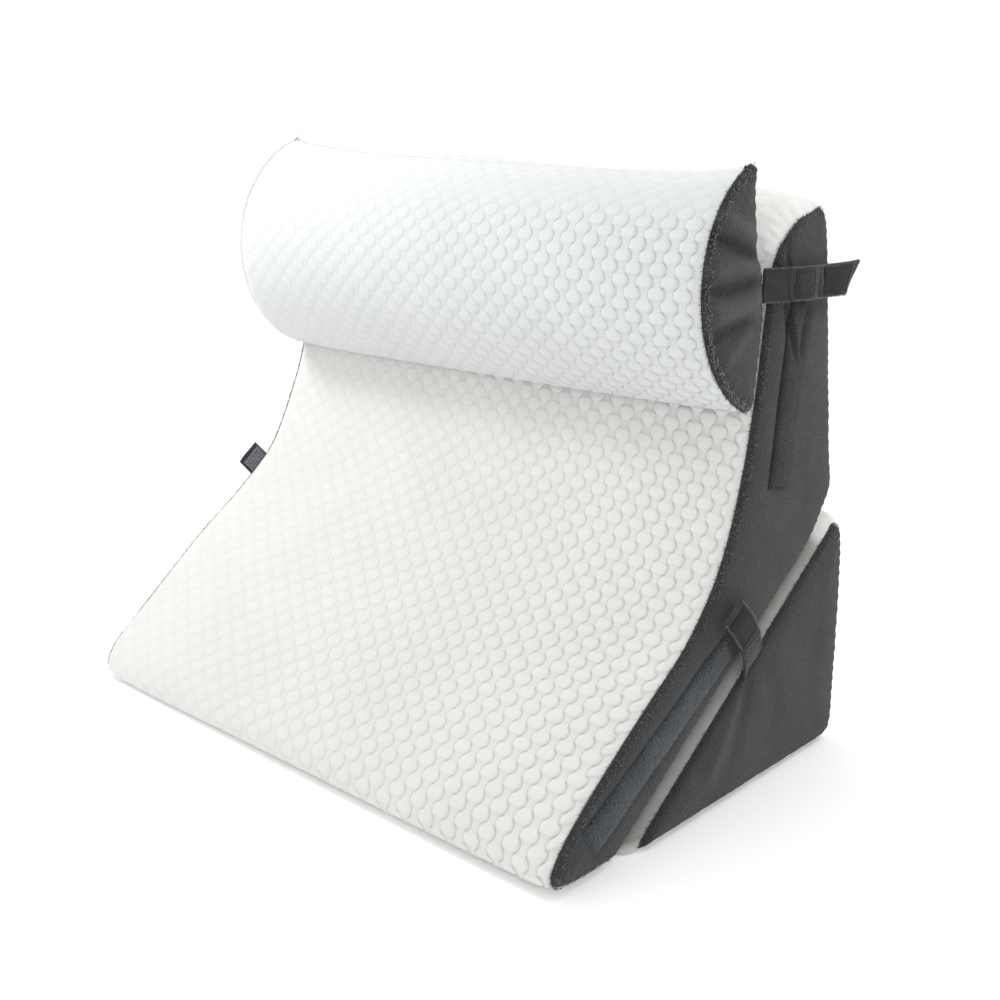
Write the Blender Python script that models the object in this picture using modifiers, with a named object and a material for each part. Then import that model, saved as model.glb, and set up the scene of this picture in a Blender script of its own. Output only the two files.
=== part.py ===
"""Wedge pillow set: a base wedge, a bent back cushion and a half-round neck roll.

Units are metres.  X runs along the pillow's width, -Y is the side a person sits on and
+Z is up.  The origin is on the floor, under the middle of the base wedge's width.
The outlines are sections across the width, given at the right (+X) end and the left end.
"""
from collections import namedtuple
from math import cos, exp, radians, sin, sqrt

import bmesh
import bpy
from mathutils import Vector
from mathutils.bvhtree import BVHTree

# Widths across the pillow
BACK_WIDTH = 0.600
NECK_WIDTH = 0.600
BASE_WIDTH = 0.610

# Cushion ends: the seam lies inside the full outline, and the end bulges past the seam
SEAM_INSET = 0.005
SEAM_SHOULDER = 0.007
SEAM_RUN = 0.026
SHOULDER_INSET = 0.0012
END_BULGE = 0.0065
BULGE_REACH = 0.040
FLOOR_BAND = 0.0012
ROUNDING_PASSES = 8

# Slope that the back cushion lies on, as a height over the floor at y = 0 and a rise
SLOPE_RISE = 0.674
SLOPE_HEIGHT = 0.1568
SLOPE_GAP = 0.0013

# Cloth pieces
GAP = 0.0003
PANEL_THICKNESS = 0.002
STRIP_THICKNESS = 0.0014
STRIP_GAP = 0.0009
STRIP_WIDTH = 0.026
STRIP_PITCH = 0.012
STRIP_SHORTEST = 6
STRIP_COLUMNS = 4
STRAP_WIDTH = 0.029
STRAP_THICKNESS = 0.0024
STRAP_STEPS = 3
HOOK_WIDTH = 0.023
HOOK_THICKNESS = 0.0014

# Neck roll: round front, and a back that lies on the back cushion
ROLL_GAP = 0.0007
ROLL_TOP_SAG = 0.013
ROLL_LOW_SAG = 0.005
ROLL_LEAVES = 0.400
ROLL_LEAN = 0.09
ROLL_EARS = 0.15
ROLL_LOW_TIP = 0.004
ROLL_HIGH_TIP = 0.002
ROLL_TIP_CROWN = 0.0032
TIP_SHARES = (0.25, 0.50, 0.75)

# At its end seams the roll's back is drawn forward above the root of the strap
ROLL_REAR_DRAWN = 0.0065
ROOT_REACH = 0.020
TIP_RUN = 0.10
TIP_DRAWN = 0.40

Cloth = namedtuple("Cloth", "name red green blue roughness")
Row = namedtuple("Row", "y_right z_right y_left z_left")
Roll = namedtuple("Roll", "centre_y centre_z radius top_angle bottom_angle")
Fold = namedtuple("Fold", "angle depth width")
Station = namedtuple("Station", "x y z lean")
StripEnd = namedtuple("StripEnd", "y_top z_top y_bottom z_bottom")


def slope_row(y):
    """A row of the back cushion's underside, just clear of the base wedge's slope."""
    z = SLOPE_HEIGHT + SLOPE_GAP + SLOPE_RISE * y
    return Row(y, z, y, z)


def base_row(y):
    """A row of the base wedge's slope."""
    z = SLOPE_HEIGHT + SLOPE_RISE * y
    return Row(y, z, y, z)


def same_row(y, z):
    """A row that is alike at both ends."""
    return Row(y, z, y, z)


# Back cushion: from the toe up the front, over the top, and the rear from the toe up
BACK_FRONT = [
    Row(-0.3040, 0.0040, -0.3010, 0.0000),
    Row(-0.3125, 0.0150, -0.3080, 0.0120),
    Row(-0.3050, 0.0330, -0.2980, 0.0360),
    Row(-0.2680, 0.0660, -0.2590, 0.0700),
    Row(-0.1910, 0.1200, -0.1960, 0.1240),
    Row(-0.1490, 0.1480, -0.1500, 0.1580),
    Row(-0.1170, 0.1800, -0.1120, 0.1890),
    Row(-0.0935, 0.2160, -0.0875, 0.2170),
    Row(-0.0720, 0.2700, -0.0630, 0.2680),
    Row(-0.0530, 0.3450, -0.0390, 0.3450),
    Row(-0.0375, 0.4450, -0.0220, 0.4700),
]
BACK_TOP = [
    Row(-0.0270, 0.4860, -0.0100, 0.5130),
    Row(0.0030, 0.5080, 0.0220, 0.5355),
    Row(0.0400, 0.5035, 0.0600, 0.5375),
]
BACK_REAR = [
    Row(-0.2400, 0.0000, -0.2400, 0.0000),
    slope_row(-0.222),
    slope_row(-0.165),
    slope_row(-0.110),
    slope_row(-0.055),
    slope_row(0.002),
    same_row(0.0465, 0.1912),
    Row(0.0790, 0.2300, 0.0790, 0.2310),
    Row(0.0795, 0.2620, 0.0830, 0.2680),
    Row(0.0705, 0.3700, 0.0800, 0.3850),
    Row(0.0595, 0.4780, 0.0780, 0.5080),
]
BACK_BOTTOM = [Row(-0.291, 0.0013, -0.290, 0.0), same_row(-0.273, 0.0), same_row(-0.256, 0.0)]

# The back cushion's top is rounded off towards its ends: how far the last front row and the
# top rows move at the seam, as (y, z), and how far from the end the rounding starts
TOP_ROUNDED = [(0.002, -0.010), (0.014, -0.016), (0.012, -0.020), (0.001, -0.0105)]
ROUNDING_RUN = 0.034

# Base wedge: slope from the front tip up, rounded top edge, back face, underside
BASE_FRONT = [
    same_row(-0.2265, 0.0000),
    same_row(-0.2235, 0.0044),
    base_row(-0.205),
    base_row(-0.130),
    base_row(-0.050),
    base_row(0.030),
    base_row(0.078),
]
BASE_TOP = [same_row(0.0850, 0.2127), same_row(0.0907, 0.2107), same_row(0.0947, 0.2055)]
BASE_REAR = [
    same_row(0.0800, 0.0030),
    same_row(0.0873, 0.0160),
    same_row(0.0900, 0.0500),
    same_row(0.0930, 0.0900),
    same_row(0.0955, 0.1300),
    same_row(0.0965, 0.1700),
    same_row(0.0963, 0.1970),
]
BASE_BOTTOM = [same_row(-0.200, 0.0), same_row(-0.030, 0.0), same_row(0.062, 0.0)]

# The base wedge's ends are drawn in towards this point, least at the weighted underside
BASE_MIDDLE = (0.0200, 0.0300)
BASE_DRAW_IN = 13.0

# Neck roll ends
ROLL_RIGHT = Roll(-0.0270, 0.4280, 0.110, 66.5, -67.0)
ROLL_LEFT = Roll(-0.0100, 0.4320, 0.120, 71.0, -70.0)
ROLL_STEPS = 14

# Soft folds that spread over the roll's end panels from the root of its strap
FOLD_ROOT = (-0.036, 0.432)
FOLD_START = 0.012
END_FOLDS = [
    Fold(139.0, 0.0026, 0.0065),
    Fold(163.0, 0.0030, 0.0070),
    Fold(196.0, 0.0032, 0.0080),
    Fold(228.0, 0.0022, 0.0075),
]

# Where the sections stand along the width, as shares of it
SPREAD = [0.0, 0.30, 0.70, 1.0]
ROLL_SPREAD = [0.0, ROLL_EARS, 0.50, 1.0 - ROLL_EARS, 1.0]

# Steps from a cushion's front to its rear
DEPTH_STEPS = len(BACK_TOP) + 1

# Fastening strips on the back cushion's end panels
UPPER_STRIP = StripEnd(0.0045, 0.414, -0.0245, 0.2535)
LOWER_STRIP = StripEnd(-0.0920, 0.133, -0.2720, 0.0310)

# Straps, as the middle line of each and the lean of its width from upright in degrees; the
# loose one hangs away from the cushion with its hook patch turned inwards
NECK_STRAP = [
    Station(0.3044, -0.0500, 0.4305, 4.0),
    Station(0.3115, -0.0300, 0.4305, 4.0),
    Station(0.3170, 0.0000, 0.4300, 6.0),
    Station(0.3145, 0.0280, 0.4292, 8.0),
    Station(0.3170, 0.0560, 0.4290, 20.0),
    Station(0.3155, 0.0765, 0.4293, 40.0),
]
# The roll's back lies further back at its left end
NECK_STRAP_LEFT_SHIFT = 0.0135
BASE_STRAP = [
    Station(0.3071, -0.0577, 0.1105, 53.0),
    Station(0.3125, -0.0655, 0.1240, 54.0),
    Station(0.3155, -0.0770, 0.1410, 56.0),
    Station(0.3185, -0.0930, 0.1570, 58.0),
    Station(0.3175, -0.1045, 0.1690, 58.0),
]
LOOSE_STRAP = [
    Station(0.3075, -0.0500, 0.1160, 53.0),
    Station(0.3135, -0.0580, 0.1300, 52.0),
    Station(0.3200, -0.0670, 0.1490, 51.0),
    Station(0.3360, -0.0740, 0.1690, 50.0),
    Station(0.3620, -0.0775, 0.1855, 50.0),
]

WARM_KNIT = Cloth("warm_white_knit", 0.84, 0.83, 0.80, 0.85)
COOL_KNIT = Cloth("cool_white_knit", 0.82, 0.85, 0.87, 0.85)
VELOUR = Cloth("grey_velour", 0.060, 0.064, 0.063, 0.90)
LOOP_PILE = Cloth("loop_pile", 0.075, 0.082, 0.105, 0.95)
HOOK_TAPE = Cloth("hook_patch", 0.045, 0.047, 0.050, 0.70)

COLLECTION = "wedge_pillow"


def clear_scene():
    """Remove the objects that the scene opens with."""
    for old in list(bpy.data.objects):
        bpy.data.objects.remove(old, do_unlink=True)


def make_material(cloth):
    """A plain cloth material."""
    material = bpy.data.materials.new(cloth.name)
    material.use_nodes = True
    shader = material.node_tree.nodes["Principled BSDF"]
    shader.inputs["Base Color"].default_value = (cloth.red, cloth.green, cloth.blue, 1.0)
    shader.inputs["Roughness"].default_value = cloth.roughness
    shader.inputs["Metallic"].default_value = 0.0
    return material


def make_object(name, mesh, material):
    """Put a finished mesh in the part's collection."""
    part = bpy.data.objects.new(name, mesh)
    part.data.materials.clear()
    part.data.materials.append(material)
    bpy.data.collections[COLLECTION].objects.link(part)
    return part


def blend_row(row, share):
    """The point of a row at a share of the width, from the left end to the right end."""
    y = row.y_left + (row.y_right - row.y_left) * share
    z = row.z_left + (row.z_right - row.z_left) * share
    return Vector((y, z))


def split_cube(x_cuts, depth_steps, height_steps):
    """A unit cube from 0 to 1 whose faces are cut at the given places."""
    cage = bmesh.new()
    bmesh.ops.create_cube(cage, size=1.0)
    bmesh.ops.translate(cage, vec=(0.5, 0.5, 0.5), verts=cage.verts)
    cuts = [((1, 0, 0), x) for x in x_cuts[1:-1]]
    cuts += [((0, 1, 0), step / depth_steps) for step in range(1, depth_steps)]
    cuts += [((0, 0, 1), step / height_steps) for step in range(1, height_steps)]
    for normal, place in cuts:
        geometry = cage.verts[:] + cage.edges[:] + cage.faces[:]
        bmesh.ops.bisect_plane(
            cage, geom=geometry, plane_co=Vector(normal) * place, plane_no=normal)
    return cage


def inset_outline(points, inset):
    """Move a closed outline inwards; it runs up the front and down the rear."""
    moved = []
    count = len(points)
    for index, point in enumerate(points):
        along = points[(index + 1) % count] - points[index - 1]
        inward = Vector((along.y, -along.x)).normalized()
        moved.append(point + inward * inset)
    return moved


def shrink_outline(points, inset):
    """Draw in the base wedge's outline towards a low middle point."""
    middle = Vector(BASE_MIDDLE)
    return [point + (middle - point) * inset * BASE_DRAW_IN for point in points]


def cage_outline(points):
    """Push the outline's corners out, so that its rounded form passes through the points."""
    corners = list(points)
    count = len(points)
    for _ in range(ROUNDING_PASSES):
        rounded = [
            (corners[index - 1] + 4.0 * corners[index] + corners[(index + 1) % count]) / 6.0
            for index in range(count)]
        corners = [corner + point - near
                   for corner, point, near in zip(corners, points, rounded)]
    return corners


def end_inset(x, width):
    """How far the outline is drawn in at a distance from the cushion's middle."""
    from_end = width / 2 - abs(x)
    if from_end < SEAM_SHOULDER / 2:
        return SEAM_INSET
    if from_end < SEAM_RUN / 2:
        return SHOULDER_INSET
    return 0.0


def patch_point(sides, depth, height):
    """A point inside a four-sided outline, at its depth and height shares."""
    front, top, rear, bottom = sides
    t = height / (len(front) - 1)
    s = depth / (len(top) - 1)
    across = front[height] * (1 - s) + rear[height] * s
    upward = bottom[depth] * (1 - t) + top[depth] * t
    corners = (front[0] * (1 - s) + rear[0] * s) * (1 - t)
    corners += (front[-1] * (1 - s) + rear[-1] * s) * t
    return across + upward - corners


def cushion_mesh(name, width, section, depth_steps, height_steps, shares):
    """A filled cushion lofted through its sections, rounded, with its ends marked 1."""
    ends = [0.0, SEAM_SHOULDER / width, SEAM_RUN / width]
    cuts = ends + shares[1:-1] + [1.0 - end for end in reversed(ends)]
    cage = split_cube(cuts, depth_steps, height_steps)
    sections = {}
    for cut in cuts:
        loop = cage_outline(section(cut, end_inset((cut - 0.5) * width, width)))
        rows = height_steps + 1
        inner = depth_steps - 1
        front = loop[:rows]
        top = loop[rows:rows + inner]
        rear = loop[rows + inner:2 * rows + inner][::-1]
        bottom = loop[2 * rows + inner:][::-1]
        sections[round(cut, 5)] = (
            front, [front[-1]] + top + [rear[-1]], rear, [front[0]] + bottom + [rear[0]])
    for vert in cage.verts:
        sides = sections[min(sections, key=lambda cut: abs(cut - vert.co.x))]
        depth = round(vert.co.y * depth_steps)
        height = round(vert.co.z * height_steps)
        place = patch_point(sides, depth, height)
        vert.co = ((vert.co.x - 0.5) * width, place.x, place.y)
    crease = cage.edges.layers.float.new("crease_edge")
    for face in cage.faces:
        is_end = all(abs(abs(vert.co.x) - width / 2) < GAP for vert in face.verts)
        face.material_index = 1 if is_end else 0
    for edge in cage.edges:
        kinds = {face.material_index for face in edge.link_faces}
        if kinds == {0, 1}:
            edge[crease] = 1.0
    bmesh.ops.recalc_face_normals(cage, faces=cage.faces)
    mesh = bpy.data.meshes.new(name)
    cage.to_mesh(mesh)
    cage.free()
    return rounded_mesh(name, mesh)


def rounded_mesh(name, mesh):
    """The mesh with one level of subdivision applied."""
    guide = bpy.data.objects.new(name, mesh)
    bpy.context.scene.collection.objects.link(guide)
    rounding = guide.modifiers.new("rounding", "SUBSURF")
    rounding.levels = 1
    rounding.render_levels = 1
    bpy.context.view_layer.update()
    graph = bpy.context.evaluated_depsgraph_get()
    result = bpy.data.meshes.new_from_object(guide.evaluated_get(graph))
    bpy.data.objects.remove(guide, do_unlink=True)
    result.name = name
    return result


def distance_to_outline(point, outline):
    """Shortest distance from a point to a closed outline."""
    best = 1.0
    for start, end in zip(outline, outline[1:] + outline[:1]):
        span = end - start
        share = max(0.0, min(1.0, (point - start).dot(span) / span.length_squared))
        best = min(best, (point - start - span * share).length)
    return best


def seam_loop(shape, side):
    """The points of the end seam in order, as (y, z)."""
    edges = [edge for edge in shape.edges
             if {face.material_index for face in edge.link_faces} == {0, 1}
             and edge.verts[0].co.x * side > 0]
    start = edges[0].verts[0]
    loop = [start]
    left = set(edges)
    while left:
        step = next((edge for edge in loop[-1].link_edges if edge in left), None)
        if step is None:
            break
        left.discard(step)
        loop.append(step.other_vert(loop[-1]))
    return [Vector((vert.co.y, vert.co.z)) for vert in loop[:-1]]


def fold_depth(place, folds):
    """How deep the folds that spread from the strap's root are at a place."""
    depth = 0.0
    away = place - Vector(FOLD_ROOT)
    for fold in folds:
        line = Vector((cos(radians(fold.angle)), sin(radians(fold.angle))))
        along = away.dot(line)
        across = away.cross(line)
        if along > 0:
            rise = min(1.0, along / FOLD_START)
            depth += fold.depth * exp(-(across / fold.width) ** 2) * rise
    return depth


def fill_ends(mesh, folds):
    """Bulge both ends past their seams, fold them, and flatten what meets the floor."""
    shape = bmesh.new()
    shape.from_mesh(mesh)
    for side in (-1, 1):
        outline = seam_loop(shape, side)
        seam = {vert for edge in shape.edges for vert in edge.verts
                if {face.material_index for face in edge.link_faces} == {0, 1}}
        for vert in shape.verts:
            ends = all(face.material_index == 1 for face in vert.link_faces)
            if not ends or vert in seam or vert.co.x * side < 0:
                continue
            place = Vector((vert.co.y, vert.co.z))
            reach = min(1.0, distance_to_outline(place, outline) / BULGE_REACH)
            rise = END_BULGE * sqrt(1.0 - (1.0 - reach) ** 2)
            vert.co.x += side * (rise - fold_depth(place, folds) * reach)
    for vert in shape.verts:
        if vert.co.z < FLOOR_BAND:
            vert.co.z = 0.0
    bmesh.ops.triangulate(shape, faces=shape.faces, quad_method="FIXED")
    bmesh.ops.recalc_face_normals(shape, faces=shape.faces)
    shape.to_mesh(mesh)
    shape.free()
    return mesh


def end_panel(name, mesh, side, material):
    """The velour sheet over one end: the end's faces, lifted clear and given a thickness."""
    sheet = bmesh.new()
    sheet.from_mesh(mesh)
    others = [face for face in sheet.faces
              if face.material_index == 0 or face.calc_center_median().x * side < 0]
    bmesh.ops.delete(sheet, geom=others, context="FACES")
    inner = sheet.faces[:]
    rim = [edge for edge in sheet.edges if edge.is_boundary]
    twins = bmesh.ops.duplicate(sheet, geom=inner)["vert_map"]
    pairs = {vert: twins[vert] for face in inner for vert in face.verts}
    for vert, twin in pairs.items():
        twin.co.x += side * (GAP + PANEL_THICKNESS)
        vert.co.x += side * GAP
    for edge in rim:
        start, end = edge.verts
        sheet.faces.new((start, end, pairs[end], pairs[start]))
    bmesh.ops.triangulate(sheet, faces=[face for face in sheet.faces if len(face.verts) > 3])
    bmesh.ops.reverse_faces(sheet, faces=inner)
    bmesh.ops.recalc_face_normals(sheet, faces=sheet.faces)
    panel = bpy.data.meshes.new(name)
    sheet.to_mesh(panel)
    sheet.free()
    return make_object(name, panel, material)


def build_cushion(name, width, section, height_steps, shares, knit, velour, folds=()):
    """One filled cushion with its two velour end panels."""
    mesh = cushion_mesh(name, width, section, DEPTH_STEPS, height_steps, shares)
    mesh = fill_ends(mesh, folds)
    stem = name.replace("_cushion", "")
    end_panel(stem + "_panel_right", mesh, 1, velour)
    end_panel(stem + "_panel_left", mesh, -1, velour)
    cushion = make_object(name, mesh, knit)
    for face in cushion.data.polygons:
        face.material_index = 0
    return cushion


def base_section(share, inset):
    """The base wedge's outline at a share of the width."""
    rows = BASE_FRONT + BASE_TOP + BASE_REAR[::-1] + BASE_BOTTOM[::-1]
    return shrink_outline([blend_row(row, share) for row in rows], inset)


def back_section(share, inset):
    """The back cushion's outline at a share of the width, its top rounded off at the ends."""
    rows = BACK_FRONT + BACK_TOP + BACK_REAR[::-1] + BACK_BOTTOM[::-1]
    points = inset_outline([blend_row(row, share) for row in rows], inset)
    from_end = min(share, 1.0 - share) * BACK_WIDTH
    rounded = max(0.0, 1.0 - from_end / ROUNDING_RUN) ** 2
    for index, move in enumerate(TOP_ROUNDED, start=len(BACK_FRONT) - 1):
        points[index] += Vector(move) * rounded
    return points


def back_front(share):
    """The back cushion's front as built, from the toe up, at a share of the width."""
    rows = BACK_FRONT + BACK_TOP + BACK_REAR[::-1] + BACK_BOTTOM[::-1]
    corners = cage_outline([blend_row(row, share) for row in rows])
    curve = []
    for index in range(1, len(BACK_FRONT) + 1):
        before, here, after = corners[index - 1:index + 2]
        curve.append((before + 4.0 * here + after) / 6.0)
        curve.append((before + 23.0 * here + 23.0 * after + corners[index + 2]) / 48.0)
    return curve


def depth_at(curve, z):
    """The curve's y at a height."""
    for low, high in zip(curve, curve[1:]):
        if low.y <= z <= high.y:
            return low.x + (high.x - low.x) * (z - low.y) / (high.y - low.y)
    return curve[-1].x


def neck_section(share, inset):
    """The roll's section: an arc in front, drawn in at the ends, and a back along the
    back cushion."""
    roll = Roll(*[left + (right - left) * share for left, right in zip(ROLL_LEFT, ROLL_RIGHT)])
    sag = sin(radians(90.0 * min(1.0, min(share, 1.0 - share) / ROLL_EARS)))
    contact = back_front(share)
    front = []
    for step in range(ROLL_STEPS + 1):
        part = step / ROLL_STEPS
        angle = radians(roll.bottom_angle + (roll.top_angle - roll.bottom_angle) * part)
        y = roll.centre_y - (roll.radius - inset) * cos(angle)
        z = roll.centre_z + roll.radius * sin(angle)
        z -= sag * (ROLL_TOP_SAG if angle > 0.0 else ROLL_LOW_SAG) * sin(angle) ** 2
        front.append(Vector((y, z)))
    low, high = front[0], front[-1]
    rear = []
    for step in range(ROLL_STEPS + 1):
        part = step / ROLL_STEPS
        bottom_z = low.y + ROLL_LOW_TIP
        z = bottom_z + (high.y - ROLL_HIGH_TIP - bottom_z) * part
        upright = depth_at(contact, ROLL_LEAVES) - ROLL_LEAN * (z - ROLL_LEAVES)
        from_root = max(0.0, z - FOLD_ROOT[1]) / ROOT_REACH
        from_tip = min(1.0, min(part, 1.0 - part) / TIP_RUN)
        drawn = ROLL_REAR_DRAWN * inset / SEAM_INSET * (1.0 - exp(-from_root ** 4))
        drawn *= TIP_DRAWN + (1.0 - TIP_DRAWN) * from_tip
        rear.append(Vector((min(depth_at(contact, z), upright) - ROLL_GAP - drawn, z)))
    crowns = [Vector((0.0, ROLL_TIP_CROWN * sin(radians(180.0 * part)))) for part in TIP_SHARES]
    top = [high.lerp(rear[-1], part) + crown for part, crown in zip(TIP_SHARES, crowns)]
    bottom = [low.lerp(rear[0], part) - crown for part, crown in zip(TIP_SHARES, crowns)]
    return front + top + rear[::-1] + bottom[::-1]


def smooth_path(stations, steps):
    """Stations along a Catmull-Rom curve through the given ones, with their parameters."""
    padded = [stations[0]] + list(stations) + [stations[-1]]
    path = []
    for index in range(len(stations) - 1):
        a, b, c, d = padded[index:index + 4]
        for step in range(steps):
            t = step / steps
            path.append(Station(*[
                0.5 * (2 * q + (r - p) * t + (2 * p - 5 * q + 4 * r - s) * t * t
                       + (3 * q - p - 3 * r + s) * t ** 3)
                for p, q, r, s in zip(a, b, c, d)]))
    return path + [stations[-1]]


def ribbon(name, path, side, width, lift, thickness, material):
    """A flat strap along a path; lift is how far its inner face is off the path."""
    last = len(path) - 1
    cage = split_cube([step / last for step in range(last + 1)], 1, 3)
    frames = []
    for index, station in enumerate(path):
        before = path[max(0, index - 1)]
        after = path[min(last, index + 1)]
        along = Vector(after[:3]) - Vector(before[:3])
        lean = radians(station.lean)
        across = Vector((0.0, sin(lean), cos(lean)))
        square = across.cross(along.normalized())
        across = across / square.length
        outward = square.normalized()
        if outward.x < 0:
            outward = -outward
        frames.append((Vector(station[:3]), across, outward))
    for vert in cage.verts:
        middle, across, outward = frames[round(vert.co.x * last)]
        place = middle + across * (vert.co.z - 0.5) * width
        place += outward * (lift + vert.co.y * thickness)
        vert.co = (place.x * side, place.y, place.z)
    bmesh.ops.triangulate(cage, faces=cage.faces)
    bmesh.ops.recalc_face_normals(cage, faces=cage.faces)
    mesh = bpy.data.meshes.new(name)
    cage.to_mesh(mesh)
    cage.free()
    return make_object(name, mesh, material)


def build_strap(stem, side_name, side, stations, velour, hook, lift=STRAP_THICKNESS + GAP):
    """A velour strap with its sewn hook patch near the free end."""
    path = smooth_path(stations, STRAP_STEPS)
    ribbon(f"{stem}_strap_{side_name}", path, side, STRAP_WIDTH, 0.0, STRAP_THICKNESS, velour)
    patch = path[len(path) // 2 + 1:-1]
    ribbon(f"{stem}_hook_{side_name}", patch, side, HOOK_WIDTH, lift, HOOK_THICKNESS, hook)


def build_strip(name, panel, side, ends, pile):
    """A fastening strip that lies on the back cushion's end panel."""
    cloth = bmesh.new()
    cloth.from_mesh(panel.data)
    tree = BVHTree.FromBMesh(cloth)
    cloth.free()
    start = Vector((ends.y_top, ends.z_top))
    span = Vector((ends.y_bottom, ends.z_bottom)) - start
    across = Vector((-span.y, span.x)).normalized()
    pieces = max(STRIP_SHORTEST, round(span.length / STRIP_PITCH))
    cage = split_cube([step / pieces for step in range(pieces + 1)], 1, STRIP_COLUMNS)
    for vert in cage.verts:
        place = start + span * vert.co.x + across * (vert.co.z - 0.5) * STRIP_WIDTH
        origin = Vector((side, place.x, place.y))
        hit = tree.ray_cast(origin, Vector((-side, 0.0, 0.0)))[0]
        lift = STRIP_GAP + vert.co.y * STRIP_THICKNESS
        vert.co = (hit.x + side * lift, place.x, place.y)
    bmesh.ops.triangulate(cage, faces=cage.faces)
    bmesh.ops.recalc_face_normals(cage, faces=cage.faces)
    mesh = bpy.data.meshes.new(name)
    cage.to_mesh(mesh)
    cage.free()
    return make_object(name, mesh, pile)


def build():
    """Make every piece of the pillow set."""
    clear_scene()
    collection = bpy.data.collections.new(COLLECTION)
    bpy.context.scene.collection.children.link(collection)
    warm_knit = make_material(WARM_KNIT)
    cool_knit = make_material(COOL_KNIT)
    velour = make_material(VELOUR)
    pile = make_material(LOOP_PILE)
    hook = make_material(HOOK_TAPE)

    base_steps = len(BASE_FRONT) - 1
    back_steps = len(BACK_FRONT) - 1
    build_cushion("base_cushion", BASE_WIDTH, base_section, base_steps, SPREAD,
                  warm_knit, velour)
    build_cushion("back_cushion", BACK_WIDTH, back_section, back_steps, SPREAD,
                  warm_knit, velour)
    build_cushion("neck_cushion", NECK_WIDTH, neck_section, ROLL_STEPS, ROLL_SPREAD,
                  cool_knit, velour, END_FOLDS)

    for side_name, side in (("right", 1), ("left", -1)):
        panel = bpy.data.objects["back_panel_" + side_name]
        build_strip("loop_upper_" + side_name, panel, side, UPPER_STRIP, pile)
        build_strip("loop_lower_" + side_name, panel, side, LOWER_STRIP, pile)
        shift = NECK_STRAP_LEFT_SHIFT if side < 0 else 0.0
        neck_strap = [row._replace(y=row.y + shift) for row in NECK_STRAP]
        build_strap("neck", side_name, side, neck_strap, velour, hook)
    build_strap("base", "right", 1, BASE_STRAP, velour, hook)
    build_strap("base", "left", -1, LOOSE_STRAP, velour, hook, -GAP - HOOK_THICKNESS)


build()
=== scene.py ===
"""Wedge pillow set: bubble-knit covers, velour ends, fastening strips and straps.

Metres.  X runs along the pillow's width, -Y is the side a person sits on, +Z is up.
"""

from collections import namedtuple
from math import cos, pi, radians, sin

import bmesh
import bpy
import numpy as np
from mathutils import Euler, Matrix, Vector, noise


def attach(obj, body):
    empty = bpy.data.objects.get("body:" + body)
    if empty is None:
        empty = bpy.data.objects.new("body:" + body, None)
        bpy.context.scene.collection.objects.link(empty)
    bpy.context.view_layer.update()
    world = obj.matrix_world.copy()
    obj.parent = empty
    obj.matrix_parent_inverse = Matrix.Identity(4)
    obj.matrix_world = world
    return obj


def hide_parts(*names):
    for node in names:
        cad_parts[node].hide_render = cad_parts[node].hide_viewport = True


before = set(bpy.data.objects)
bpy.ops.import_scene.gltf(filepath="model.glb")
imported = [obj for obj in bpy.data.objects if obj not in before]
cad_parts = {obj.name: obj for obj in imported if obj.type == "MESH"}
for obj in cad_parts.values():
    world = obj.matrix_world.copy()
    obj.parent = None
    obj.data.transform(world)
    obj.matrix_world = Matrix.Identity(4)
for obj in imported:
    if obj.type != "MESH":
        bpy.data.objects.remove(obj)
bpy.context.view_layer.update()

# Bubble knit: columns of bubbles along the width, each repeat a bubble and a flat neck
COLUMN = 0.0124
REPEAT = 0.0210
WAVE = 0.22
SQUARED = 1.4
FLATNESS = 6.0
NECK_LEVEL = 0.34
BUBBLE_PHASES = (-0.95, 0.65)
BUBBLE_HEIGHT = 0.0014
MEAN_RELIEF = 0.55
CROSS_STEPS = 5

# The knit's finer relief in its material, and its colours: painted shade in the grooves, random worn
# patches, and painted shade in the crease beside the back cushion
KNIT_BUMP = 0.0014
YARN = 0.00011
NET_PITCH = 0.0021
NET_LOSS = 0.55
WALE_PITCH = 0.0015
WALE_SHARE = 0.35
GROOVE_SHARPNESS = 12.0
GROOVE_SHADE = 0.16
WORN_SHADE = 0.12
# Painted shade colour for the knit in the crease beside the back cushion
CREASE_SHADE_COLOUR = (0.13, 0.127, 0.118)

# Pile: how its fibres are combed, and how its patches and tufts are mixed
COMB_TURN = (0.0, 0.0, 1.1)
COMB_STRETCH = (1.0, 0.5, 1.0)
PATCHY = 0.65
TUFTY = 1.6

# Cushion ends
SEAM_FADE = 0.009
END_STEPS = (0.0, 0.0011, 0.0024, 0.0042, 0.0064)
PUCKER_HEIGHT = 0.0006
PUCKER_PITCH = 0.021
PUCKER_DRIFT = 9.0
PUCKER_DRIFT_RATE = 31.0
PUCKER_REACH = 0.014
PUCKER_START = 0.004
SWELL = 0.0011
SWELL_RATES = (6.0, 9.0)
FLOOR_FADE = (0.002, 0.014)
END_BULGE = 0.0065
BULGE_REACH = 0.040
PANEL_THICKNESS = 0.0016
PANEL_LIFT = 0.0020
PANEL_TUCK = 0.0028
TUCK_SHARE = 0.09
PANEL_UNEVEN = 0.0006
UNEVEN_RATE = 34.0
SLACK_INSET = 0.985
GATHER_PITCH = 0.0105
GATHER_DRIFT = 2.4
GATHER_DRIFT_RATE = 47.0
GATHER_DEPTH = 0.0006
GATHER_REACH = 0.009
GATHER_START = 0.003
STRIP_CREASE = 0.0011
STRIP_CREASE_WIDTH = 0.0042
FOLD_FADE = 0.008
FOLD_WANDER = 0.0025
FOLD_BENDS = 3.0
FOLD_SHIFT = 90.0
FOLD_END = 0.15
# Fold heights over this span set the velour's painted light on ridges and painted shade in valleys
FOLD_SHADE_SPAN = 0.0052

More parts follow.
